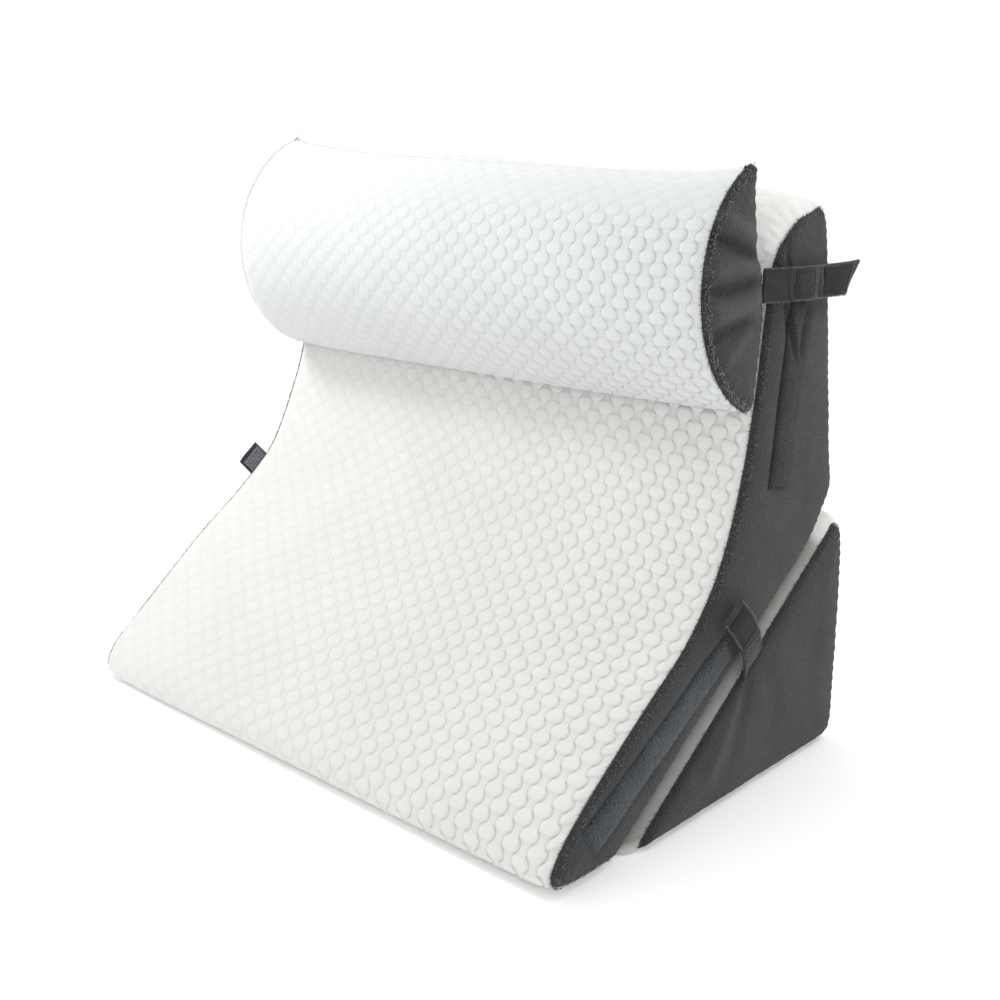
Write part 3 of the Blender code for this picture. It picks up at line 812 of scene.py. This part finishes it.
def bubble_relief(across, along):
    """Height of the bubble knit from 0 to 1 at places on the cloth."""
    column = across / COLUMN
    number = np.round(column)
    offset = np.abs(column - number)
    wave = np.cos(2.0 * pi * (along / REPEAT + 0.5 * number))
    swing = SQUARED * wave / np.sqrt(1.0 + (SQUARED ** 2 - 1.0) * wave ** 2)
    inside = offset < 0.5 + WAVE * swing
    phase = np.where(inside, swing, -swing)
    own = np.where(inside, offset, 1.0 - offset)
    side = np.minimum(own / (0.5 + WAVE * phase), 1.0)
    bubble = smooth_rise(phase, *BUBBLE_PHASES)
    return (1.0 - side ** FLATNESS) * (NECK_LEVEL + (1.0 - NECK_LEVEL) * bubble)


def cloth_normals(points):
    """Outward normals of a closed-round grid of points."""
    round_step = np.roll(points, -1, axis=0) - np.roll(points, 1, axis=0)
    cross_step = np.gradient(points, axis=1)
    normals = np.cross(cross_step, round_step)
    return normals / np.linalg.norm(normals, axis=2, keepdims=True)


def row_lengths(body, spans):
    """Where a cover's rows stand round its section."""
    starts = [body.length_at(span.start_y, span.start_z) for span in spans]
    starts = [starts[0]] + [
        start + (body.length if start < starts[0] else 0.0) for start in starts[1:]]
    ends = starts[1:] + [starts[0] + body.length]
    rows = []
    for start, end, span in zip(starts, ends, spans):
        count = max(1, round((end - start) / span.step))
        rows += [start + (end - start) * step / count for step in range(count)]
    return np.array(rows + [starts[0] + body.length])


def relief_share(cover, points, grid_x, from_end):
    """How much of the knit's relief shows: less where the cover is taut and towards the left."""
    taut = np.ones(grid_x.shape)
    for patch in cover.smooth:
        off = np.hypot(points[:, :, 1] - patch.y, points[:, :, 2] - patch.z) / patch.reach
        near = rise(from_end, 0.0, patch.depth)
        taut *= 1.0 - np.exp(-off ** 4) * (1.0 - near * near)
    eased = rise(grid_x, *RELIEF_SPAN) ** RELIEF_EASE
    return FAINT + (1.0 - FAINT) * taut * (LEFT_SHARE + (1.0 - LEFT_SHARE) * eased)


def crease_shade(cover, body, grid_s, from_end):
    """Painted shade on the cover where it lies in the crease beside the next cushion, lighter in a
    painted rim at the end seam.
    """
    if not cover.crease:
        return np.zeros(grid_s.shape)
    first, last = (body.length_at(*place) for place in cover.crease)
    inside = rise(grid_s, first, first + CREASE_SHADE_FADE) * (
        1.0 - rise(grid_s, last - CREASE_SHADE_FADE, last))
    rim = RIM_LIGHT * np.exp(-(from_end / PAINTED_RIM_REACH) ** 2)
    return inside * np.exp(-(from_end / CREASE_SHADE_REACH) ** 2) * (1.0 - rim)


def make_cover(cover, body):
    """A cushion's knit cover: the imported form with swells, puckers and bubbles."""
    half = cover.half_width
    inner_half = half - END_STEPS[-1]
    count = round(2.0 * inner_half / (COLUMN / CROSS_STEPS))
    ends = np.array(END_STEPS[:-1])
    across = np.concatenate([
        -half + ends, np.linspace(-inner_half, inner_half, count + 1), half - ends[::-1]])
    along = row_lengths(body, cover.spans)
    points = body.points(across, along)
    normals = cloth_normals(points[:-1])
    normals = np.concatenate([normals, normals[:1]])
    grid_x, grid_s = np.meshgrid(across, along)
    from_end = half - np.abs(grid_x)
    shown = relief_share(cover, points, grid_x, from_end)
    fade = smooth_rise(from_end, 0.0, SEAM_FADE) * shown
    rate_x, rate_s = SWELL_RATES
    swell = np.array([[noise.noise(Vector((x * rate_x, s * rate_s, half))) for x in across]
                      for s in along])
    pucker = np.sin(2.0 * pi * grid_s / PUCKER_PITCH
                    + PUCKER_DRIFT * np.sin(grid_s * PUCKER_DRIFT_RATE))
    lift = BUBBLE_HEIGHT * (bubble_relief(grid_x, grid_s) - MEAN_RELIEF) * fade
    lift += PUCKER_HEIGHT * pucker * np.exp(-from_end / PUCKER_REACH) * rise(
        from_end, 0.0, PUCKER_START)
    lift += SWELL * swell * fade
    lift[-1] = lift[0]
    lift = np.where(lift > 0.0, lift * rise(points[:, :, 2], *FLOOR_FADE), lift)
    points = points + normals * lift[:, :, None]
    points[:, :, 2] = np.maximum(points[:, :, 2], 0.0)
    shape = cloth_shape(points, np.stack([grid_x, grid_s], axis=2), len(across))
    paint(shape, "puffed", shown)
    # Painted shade in the crease beside the next cushion
    paint(shape, "painted_crease_shade", crease_shade(cover, body, grid_s, from_end))
    close_tube(shape)
    piece = finish_piece(f"{cover.stem}_knit_cover", shape, cover.knit)
    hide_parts(f"{cover.stem}_cushion")


def nearest_on(places, outline):
    """Distance from each place to a closed outline, and how far round it the nearest point is."""
    best = np.full(len(places), 1.0)
    lengths = np.zeros(len(places))
    travelled = 0.0
    for start, end in zip(outline, np.roll(outline, -1, axis=0)):
        span = end - start
        size = float(np.linalg.norm(span))
        share = np.clip(((places - start) @ span) / max(size * size, 1e-12), 0.0, 1.0)
        gap = np.linalg.norm(places - start - share[:, None] * span, axis=1)
        nearer = gap < best
        best = np.where(nearer, gap, best)
        lengths = np.where(nearer, travelled + share * size, lengths)
        travelled += size
    return best, lengths


def fold_heights(places, folds):
    """How far the soft folds raise the velour at each place."""
    height = np.zeros(len(places))
    for fold in folds:
        start = np.array([fold.y_start, fold.z_start])
        span = np.array([fold.y_end, fold.z_end]) - start
        share = ((places - start) @ span) / (span @ span)
        bend = FOLD_WANDER * np.sin(FOLD_BENDS * share + FOLD_SHIFT * fold.z_start)
        off = np.abs(np.cross(span / np.linalg.norm(span), places - start) + bend)
        ends = rise(share, -FOLD_END, FOLD_END) * rise(1.0 - share, -FOLD_END, FOLD_END)
        height += fold.height * np.exp(-(off / fold.width) ** 2) * ends
    return height


def strip_corners(ends):
    """The four corners of a fastening strip on an end panel, as (y, z)."""
    top = np.array([ends.y_top, ends.z_top])
    low = np.array([ends.y_bottom, ends.z_bottom])
    along = (low - top) / np.linalg.norm(low - top)
    across = np.array([-along[1], along[0]]) * STRIP_WIDTH / 2.0
    return np.array([top + across, top - across, low - across, low + across])


class EndFace:
    """One end of a cushion: the velour's outer surface over a place (y, z)."""

    def __init__(self, body, side, cover):
        self.side = side
        self.slack = (cover.stem, side) == ("neck", -1)
        self.half_width = body.half_width
        self.folds = cover.folds
        self.strips = (UPPER_STRIP, LOWER_STRIP) if cover.stem == "back" else ()
        self.rim = body.outline(side, np.linspace(0.0, body.length, RIM_POINTS, endpoint=False))

    def x_at(self, places):
        """X of the velour at each (y, z)."""
        gap, along = nearest_on(places, self.rim)
        reach = rise(gap, 0.0, BULGE_REACH)
        bulge = reach * reach if self.slack else np.sqrt(1.0 - (1.0 - reach) ** 2)
        folded = reach if self.slack else rise(gap, 0.0, FOLD_FADE)
        wave = np.sin(2.0 * pi * along / GATHER_PITCH
                      + GATHER_DRIFT * np.sin(along * GATHER_DRIFT_RATE + self.side))
        height = END_BULGE * bulge + fold_heights(places, self.folds) * folded
        height += GATHER_DEPTH * wave * np.exp(-gap / GATHER_REACH) * rise(gap, 0.0, GATHER_START)
        for strip in self.strips:
            edge, _ = nearest_on(places, strip_corners(strip))
            height -= STRIP_CREASE * np.exp(-(edge / STRIP_CREASE_WIDTH) ** 2)
        tuck = PANEL_TUCK * (1.0 - rise(reach, 0.0, TUCK_SHARE)) ** 2
        return self.side * (self.half_width + PANEL_LIFT + height - tuck)


def make_end_panel(cover, body, face, side_name):
    """A velour end panel stretched over the end of a cushion."""
    name = f"{cover.stem}_velour_end_{side_name}"
    side = face.side
    columns, rows = cover.columns, cover.rows
    low_front, high_front, high_rear, low_rear = body.marks[:4]

    def seam(start, end, count):
        return body.outline(side, np.linspace(start, end, count))

    front = seam(low_front, high_front, rows)
    top = seam(high_front, high_rear, columns)
    rear = seam(high_rear, low_rear, rows)[::-1]
    low = seam(low_rear, low_front + body.length, columns)[::-1]
    s = np.linspace(0.0, 1.0, columns)[None, :, None]
    t = np.linspace(0.0, 1.0, rows)[:, None, None]
    patch = front[:, None, :] * (1 - s) + rear[:, None, :] * s
    patch += low[None, :, :] * (1 - t) + top[None, :, :] * t
    patch -= (front[0] * (1 - s) + rear[0] * s) * (1 - t)
    patch -= (front[-1] * (1 - s) + rear[-1] * s) * t
    flat = patch.reshape(-1, 2)
    if face.slack:
        flat = flat.mean(axis=0) + (flat - flat.mean(axis=0)) * SLACK_INSET
    x = face.x_at(flat) + side * PANEL_UNEVEN * uneven(flat, UNEVEN_RATE, side + len(name))
    shape = cloth_shape(np.column_stack([x, flat]), flat, columns)
    # Painted light on the folds' ridges and painted shade in their valleys
    paint(shape, "painted_fold_shade", rise(fold_heights(flat, face.folds), -FOLD_SHADE_SPAN / 2, FOLD_SHADE_SPAN / 2))
    area = sum(one.calc_area() for one in shape.faces)
    face_end(shape, side)
    piece = finish_piece(name, shape, VELOUR)
    thicken(piece, "velour_thickness", PANEL_THICKNESS)
    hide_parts(f"{cover.stem}_panel_{side_name}")


def build_cushions():
    """Knit covers and velour ends of the three cushions; gives back the back cushion's ends."""
    back_ends = {}
    for cover in COVERS:
        body = Body(f"{cover.stem}_cushion", cover.half_width, cover.corners)
        make_cover(cover, body)
        for side_name, side in SIDES:
            face = EndFace(body, side, cover)
            if cover.stem == "back":
                back_ends[side] = face
            make_seam_fibres(f"{cover.stem}_seam_fibres_{side_name}", body, face)
            if cover.tufts:
                make_seam_tufts(f"{cover.stem}_seam_tufts_{side_name}", body, face, cover.tufts)
            make_end_panel(cover, body, face, side_name)
    return back_ends


# Stitches and fibres

def stitch_shape():
    """One short stitch, as a mesh to repeat."""
    shape = bmesh.new()
    bmesh.ops.create_icosphere(shape, subdivisions=1, radius=0.5)
    bmesh.ops.scale(shape, vec=(STITCH_LENGTH, STITCH_WIDTH, STITCH_WIDTH), verts=shape.verts)
    return mesh_of("stitch", shape)


def fibre_shape():
    """One pile fibre, as a mesh to repeat; it points up."""
    shape = bmesh.new()
    bmesh.ops.create_cone(shape, cap_ends=True, segments=3, radius1=FIBRE_ROOT,
                          radius2=FIBRE_TIP, depth=1.0)
    bmesh.ops.translate(shape, vec=(0.0, 0.0, 0.5), verts=shape.verts)
    return mesh_of("fibre", shape)


STITCH = stitch_shape()
FIBRE_SHAPE = fibre_shape()


def repeated(mesh, turns):
    """The mesh put once at each of the turns, all in one bmesh."""
    shape = bmesh.new()
    for turn in turns:
        mesh.transform(turn)
        shape.from_mesh(mesh)
        mesh.transform(turn.inverted())
    return shape


def aimed(place, along, up):
    """A turn that lays X along a direction with Z near up, at a place."""
    x = Vector(along).normalized()
    y = Vector(up).cross(x).normalized()
    z = x.cross(y)
    return Matrix((
        (x.x, y.x, z.x, place[0]),
        (x.y, y.y, z.y, place[1]),
        (x.z, y.z, z.z, place[2]),
        (0.0, 0.0, 0.0, 1.0)))


def stitch_turns(path, ups, pitch):
    """Stitches laid along a path of points, each with an up direction."""
    turns = []
    carry = 0.0
    for index in range(len(path) - 1):
        start, end = Vector(path[index]), Vector(path[index + 1])
        size = (end - start).length
        at = carry
        while at < size:
            place = start.lerp(end, at / size)
            turns.append(aimed(place, end - start, ups[index]))
            at += pitch
        carry = at - size
    return turns


def walk_box(first, last, half, fewest):
    """Places (length, across) along the sides of a box on the cloth, back to its first corner."""
    corners = [(first, -half), (last, -half), (last, half), (first, half), (first, -half)]
    places = []
    for (s0, a0), (s1, a1) in zip(corners, corners[1:]):
        steps = max(fewest, round(abs(s1 - s0) / BOX_SPACING))
        places += [(s0 + (s1 - s0) * step / steps, a0 + (a1 - a0) * step / steps)
                   for step in range(steps)]
    return np.array(places + [corners[0]])


def fibre_turn(spot, lean, width, size):
    """Where one fibre stands, how it leans, and how wide and long it is."""
    return (Matrix.Translation(spot) @ lean.to_track_quat("Z", "X").to_matrix().to_4x4()
            @ Matrix.Diagonal((width, width, size, 1.0)))


def seam_route(body, side, lengths):
    """Places (y, z) along an end seam, the direction of the seam and the one out of the cushion."""
    rim = body.outline(side, lengths)
    run = body.outline(side, lengths + LOOK_AHEAD) - rim
    run /= np.linalg.norm(run, axis=1)[:, None]
    return rim, run, np.column_stack([-run[:, 1], run[:, 0]])


def make_seam_fibres(name, body, face):
    """Velour fibres that stand out over the knit along an end seam."""
    side = face.side
    chance = np.random.default_rng(int(7 + 5 * side + 1000 * body.length))
    count = round(body.length / FIBRE_PITCH)
    lengths = np.arange(count) * body.length / count
    lengths += chance.uniform(-FIBRE_SCATTER, FIBRE_SCATTER, count)
    rim, run, outward = seam_route(body, side, lengths)
    turns = []
    for index in range(count):
        if rim[index][1] < FLOOR_CLEAR:
            continue
        lean = outward[index] * chance.uniform(0.5, 1.0) + run[index] * chance.uniform(-0.9, 0.3)
        lean = Vector((side * chance.uniform(-0.5, 0.3), *lean))
        front = max(0.0, -outward[index][0])
        size = chance.uniform(*FIBRE_SIZES) * (REAR_FIBRES + (1.0 - REAR_FIBRES) * front)
        size *= 1.0 if side > 0 else LEFT_FIBRES
        x = side * (body.half_width + chance.uniform(*FIBRE_ROOTS))
        turns.append(fibre_turn((x, *rim[index]), lean, 1.0, size))
    finish_piece(name, repeated(FIBRE_SHAPE, turns), FIBRE)


def make_seam_tufts(name, body, face, tufts):
    """Brushed-up tufts of velour just inside the front part of an end seam, coloured pale for painted
    sheen.
    """
    side = face.side
    chance = np.random.default_rng(int(3 + side + 900 * body.length))
    count = round(body.length / TUFT_PITCH)
    rim, run, outward = seam_route(body, side, chance.uniform(0.0, body.length, count))
    places = rim - outward * chance.uniform(*TUFT_BAND, count)[:, None]
    spots = np.column_stack([face.x_at(places) - side * PATCH_SINK, places])
    turns = []
    for index in range(count):
        if outward[index][0] > TUFT_FRONT or rim[index][1] < 4.0 * FLOOR_CLEAR:
            continue
        lean = Vector((side * chance.uniform(0.25, 0.7), *(
            outward[index] * chance.uniform(0.2, 1.0) + run[index] * chance.uniform(-0.8, 0.3))))
        size = chance.uniform(*TUFT_SIZES) * (1.0 if side > 0 else LEFT_FIBRES)
        turns.append(fibre_turn(spots[index], lean, tufts.width, size))
    finish_piece(name, repeated(FIBRE_SHAPE, turns), tufts.pile)


# Strips and straps

def make_strip(name, face, ends, pile, node):
    """A loop fastening strip sewn to an end panel, with its stitching."""
    side = face.side
    top = np.array([ends.y_top, ends.z_top])
    span = np.array([ends.y_bottom, ends.z_bottom]) - top
    size = float(np.linalg.norm(span))
    along = span / size
    across = np.array([-along[1], along[0]])
    grid_a, grid_s = np.meshgrid(np.linspace(-0.5, 0.5, STRIP_COLUMNS) * STRIP_WIDTH,
                                 np.linspace(0.0, size, round(size / RIBBON_STEP)))
    flat = (top + grid_s[..., None] * along + grid_a[..., None] * across).reshape(-1, 2)
    edge = np.minimum(np.minimum(STRIP_WIDTH / 2 - np.abs(grid_a), grid_s), size - grid_s).ravel()
    lift = STRIP_LIFT + STRIP_THICKNESS * np.sqrt(rise(edge, 0.0, STRIP_EDGE))
    lift -= STRIP_SEAM_DEPTH * np.exp(-((edge - STRIP_INSET) / STRIP_SEAM_WIDTH) ** 2)
    lift += LOOP_HEIGHT * uneven(flat, LOOP_RATE, LOOP_SEED)
    points = np.column_stack([face.x_at(flat) + side * lift, flat])
    shape = cloth_shape(points, np.stack([grid_a, grid_s], axis=2), STRIP_COLUMNS)
    face_end(shape, side)
    piece = finish_piece(name, shape, pile)
    thicken(piece, "strip_thickness", STRIP_BACKING)
    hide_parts(node)
    box = walk_box(STRIP_INSET, size - STRIP_INSET, STRIP_WIDTH / 2 - STRIP_INSET, fewest=4)
    places = top + box[:, :1] * along + box[:, 1:] * across
    heights = face.x_at(places) + side * (STRIP_LIFT + STRIP_THICKNESS - STITCH_SINK)
    turns = stitch_turns(np.column_stack([heights, places]), [(side, 0.0, 0.0)] * len(places),
                         STITCH_PITCH)
    finish_piece(name + "_stitching", repeated(STITCH, turns), THREAD)


def smooth_route(stations, steps):
    """Stations along a smooth curve through the given ones."""
    padded = [stations[0]] + list(stations) + [stations[-1]]
    route = []
    for index in range(len(stations) - 1):
        a, b, c, d = padded[index:index + 4]
        for step in range(steps):
            t = step / steps
            route.append(Station(*[
                0.5 * (2 * q + (r - p) * t + (2 * p - 5 * q + 4 * r - s) * t * t
                       + (3 * q - p - 3 * r + s) * t ** 3)
                for p, q, r, s in zip(a, b, c, d)]))
    return route + [stations[-1]]


class StrapPath:
    """The strap's middle line with its width and outward directions, by length."""

    def __init__(self, stations, side):
        route = smooth_route(stations, ROUTE_STEPS)
        places, acrosses, outs = [], [], []
        for index, station in enumerate(route):
            before = route[max(0, index - 1)]
            after = route[min(len(route) - 1, index + 1)]
            along = Vector(after[:3]) - Vector(before[:3])
            lean = radians(station.lean)
            across = Vector((0.0, sin(lean), cos(lean)))
            square = across.cross(along.normalized())
            outward = square.normalized()
            if outward.x < 0:
                outward = -outward
            places.append(station[:3])
            acrosses.append(across / square.length)
            outs.append(outward)
        mirror = np.array([side, 1.0, 1.0])
        self.places = np.array(places) * mirror
        self.across = np.array(acrosses) * mirror
        self.out = np.array(outs) * mirror
        steps = np.linalg.norm(np.diff(self.places, axis=0), axis=1)
        self.lengths = np.concatenate([[0.0], np.cumsum(steps)])
        self.length = float(self.lengths[-1])

    def blend(self, values, length):
        """The path's values at lengths along it."""
        return np.stack([np.interp(length, self.lengths, values[:, axis]) for axis in range(3)],
                        axis=-1)

    def point(self, length, across, lift):
        """Points at lengths along, distances across and heights over the inner face."""
        return (self.blend(self.places, length) + self.blend(self.across, length) * across[..., None]
                + self.blend(self.out, length) * lift[..., None])


def ribbon_piece(name, path, start, end, width, lift_of, material, thickness, columns):
    """A closed ribbon along the path, its outer face lifted by lift_of(length, across)."""
    rows = round((end - start) / RIBBON_STEP)
    ring = 2 * columns
    around = np.linspace(-0.5, 0.5, columns)
    across = np.concatenate([around, around[::-1]]) * width
    grid_a, grid_s = np.meshgrid(np.append(across, across[0]), np.linspace(start, end, rows))
    outer = np.zeros(ring + 1, bool)
    outer[:columns] = True
    outer[ring] = True
    height = lift_of(grid_s, grid_a)
    edge = 1.0 - rise(width / 2 - np.abs(grid_a), 0.0, thickness * EDGE_ROUND)
    middle = np.minimum(height, np.median(height) + UNDERSIDE_SLACK) - thickness / 2
    half = thickness / 2 * np.sqrt(1.0 - edge ** 2 * EDGE_THIN)
    lift = np.where(outer[None, :], height - thickness / 2 + half, middle - half)
    beside = UNDERSIDE_SHIFT * ~outer[None, :]
    shape = cloth_shape(path.point(grid_s, grid_a, lift),
                        np.stack([grid_a + beside, grid_s], axis=2), ring + 1)
    close_tube(shape)
    return finish_piece(name, shape, material)


def strap_lift(seams):
    """The strap's outer face: thicker folded edges, soft waves and sewn ridges."""
    rate_s, rate_a = STRAP_WAVE_RATES

    def lift(length, across):
        from_fold = STRAP_WIDTH / 2 - np.abs(across) - STRAP_FOLD_INSET
        height = STRAP_THICKNESS + STRAP_FOLD * np.exp(-(from_fold / STRAP_FOLD) ** 2)
        height += STRAP_WAVE * np.sin(length * rate_s + across * rate_a)
        for place, ridge in seams:
            off = length - place + SEAM_RIDGE_SLANT * across
            height += ridge * np.exp(-(off / SEAM_RIDGE_WIDTH) ** 2)
        return height
    return lift


def patch_lift(top, start, end):
    """A patch's outer face, drawn down where it is stitched."""
    def lift(length, across):
        edge = np.minimum(HOOK_WIDTH / 2 - np.abs(across),
                          np.minimum(length - start, end - length))
        return top - PATCH_SEAM_DEPTH * np.exp(
            -((edge - PATCH_SEAM_INSET) / PATCH_SEAM_DEPTH) ** 2)
    return lift


def make_strap(stem, side_name, side, stations, patches, inward=False):
    """A velour strap with its sewn patches, ridges and stitching."""
    path = StrapPath(stations, side)
    seams = [(patch.start * path.length - before, ridge)
             for patch in patches for before, ridge in PATCH_RIDGES]
    strap = ribbon_piece(f"{stem}_velour_strap_{side_name}", path, 0.0, path.length, STRAP_WIDTH,
                         strap_lift(seams), STRAP_VELOUR, STRAP_THICKNESS,
                         STRAP_COLUMNS)
    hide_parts(f"{stem}_strap_{side_name}")
    top = INWARD_TOP if inward else STRAP_THICKNESS + HOOK_THICKNESS - PATCH_SINK
    turns = []
    for patch in patches:
        start, end = patch.start * path.length, patch.end * path.length
        if patch is patches[-1]:
            kind, slot, cloth = "hook_tape", "hook_tape", PALE_HOOK_TAPE if inward else HOOK_TAPE
        else:
            kind, slot, cloth = "sewn_patch", "grey_velour", SEWN_VELOUR
        piece = ribbon_piece(f"{stem}_{kind}_{side_name}", path, start, end, HOOK_WIDTH,
                             patch_lift(top, start, end), cloth, HOOK_THICKNESS,
                             PATCH_COLUMNS)
        if kind == "hook_tape":
            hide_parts(f"{stem}_hook_{side_name}")
        box = walk_box(start + PATCH_SEAM_INSET, end - PATCH_SEAM_INSET,
                       HOOK_WIDTH / 2 - PATCH_SEAM_INSET, fewest=8)
        lift = top - (HOOK_THICKNESS if inward else STITCH_SINK)
        points = path.point(box[:, 0], box[:, 1], np.full(len(box), lift))
        turns += stitch_turns(points, path.blend(path.out, box[:, 0]), STITCH_PITCH)
    finish_piece(f"{stem}_strap_stitching_{side_name}", repeated(STITCH, turns), THREAD)
    make_edge_fibres(f"{stem}_strap_fibres_{side_name}", path)


def make_edge_fibres(name, path):
    """Fibres that stand out along the strap's folded edges, coloured pale for painted sheen."""
    chance = np.random.default_rng(round(path.length * 1e5))
    count = round(path.length / EDGE_FIBRE_PITCH)
    turns = []
    for edge in (-0.5, 0.5):
        lengths = np.linspace(EDGE_FIBRE_START, path.length, count)
        lengths += chance.uniform(-FIBRE_SCATTER, FIBRE_SCATTER, count)
        insets = edge * (STRAP_WIDTH - chance.uniform(0.0, EDGE_FIBRE_BAND, count))
        lifts = np.full(count, STRAP_THICKNESS + EDGE_FIBRE_LIFT)
        spots = path.point(lengths, insets, lifts)
        outward = path.point(lengths, insets + edge, lifts) - spots
        upward = path.point(lengths, insets, lifts + 1.0) - spots
        along = path.point(lengths + LOOK_AHEAD, insets, lifts) - spots
        for index in range(count):
            lean = Vector(outward[index]).normalized() * chance.uniform(0.0, 1.0)
            lean += Vector(upward[index]).normalized() * chance.uniform(0.1, 0.7)
            lean += Vector(along[index]) / LOOK_AHEAD * chance.uniform(-0.6, 0.6)
            size = chance.uniform(*EDGE_FIBRE_SIZES)
            turns.append(fibre_turn(spots[index], lean, EDGE_FIBRE_WIDTH, size))
    finish_piece(name, repeated(FIBRE_SHAPE, turns), SHEEN_FIBRE)


def build_fastenings(back_ends):
    """Loop strips, straps and their stitches at both ends."""
    for side_name, side in SIDES:
        # The upper strips take the loop pile's painted-shade copy
        for place, ends, pile in (("upper", UPPER_STRIP, SHADED_LOOP_PILE),
                                  ("lower", LOWER_STRIP, LOOP_PILE)):
            make_strip(f"{place}_loop_strip_{side_name}", back_ends[side], ends, pile,
                       f"loop_{place}_{side_name}")
        shift = NECK_STRAP_LEFT_SHIFT if side < 0 else 0.0
        neck_strap = [station._replace(y=station.y + shift) for station in NECK_STRAP]
        make_strap("neck", side_name, side, neck_strap, NECK_PATCHES)
    make_strap("base", "right", 1, BASE_STRAP, BASE_PATCHES)
    make_strap("base", "left", -1, LOOSE_STRAP, BASE_PATCHES, inward=True)


# Camera, floor and light

def make_camera():
    """The camera, looking down along the pillow from its right front."""
    data = bpy.data.cameras.new("camera")
    data.sensor_width = SENSOR
    data.lens = LENS
    data.shift_y = SHIFT_UP
    camera = placed("camera", data)
    tilt, roll, turn = (radians(angle) for angle in CAMERA_TURN)
    aim = Euler((tilt, 0.0, turn), "XYZ").to_matrix() @ Matrix.Rotation(roll, 3, "Z")
    camera.matrix_world = Matrix.Translation(CAMERA_PLACE) @ aim.to_4x4()
    bpy.context.scene.camera = camera


def add_light(light):
    """A soft square light that faces its target."""
    data = bpy.data.lights.new(light.name, "AREA")
    data.energy = light.power
    data.size = light.size
    lamp = placed(light.name, data)
    lamp.location = light.place
    aim = Vector(light.target) - Vector(light.place)
    lamp.rotation_euler = aim.to_track_quat("-Z", "Y").to_euler()


def make_stage():
    """A pale floor, soft light and a bright, even surround."""
    shape = bmesh.new()
    bmesh.ops.create_grid(shape, x_segments=1, y_segments=1, size=FLOOR_SIZE)
    bmesh.ops.translate(shape, vec=(0.0, 0.0, -FLOOR_DROP), verts=shape.verts)
    floor = placed("floor", mesh_of("floor", shape))
    material, _, shader = new_material("pale_floor")
    set_inputs(shader, {"Base Color": (0.97, 0.97, 0.97, 1.0), "Roughness": 0.9,
                        "Specular IOR Level": 0.1, "Emission Color": (1.0, 1.0, 1.0, 1.0),
                        "Emission Strength": FLOOR_GLOW})
    floor.data.materials.append(material)
    world = bpy.data.worlds.new("surround")
    world.use_nodes = True
    set_inputs(world.node_tree.nodes["Background"], {"Color": (1.0, 1.0, 1.0, 1.0), "Strength": 1.0})
    bpy.context.scene.world = world
    for light in LIGHTS:
        add_light(light)
    bpy.context.scene.view_settings.view_transform = "Standard"


make_camera()
make_stage()
build_fastenings(build_cushions())
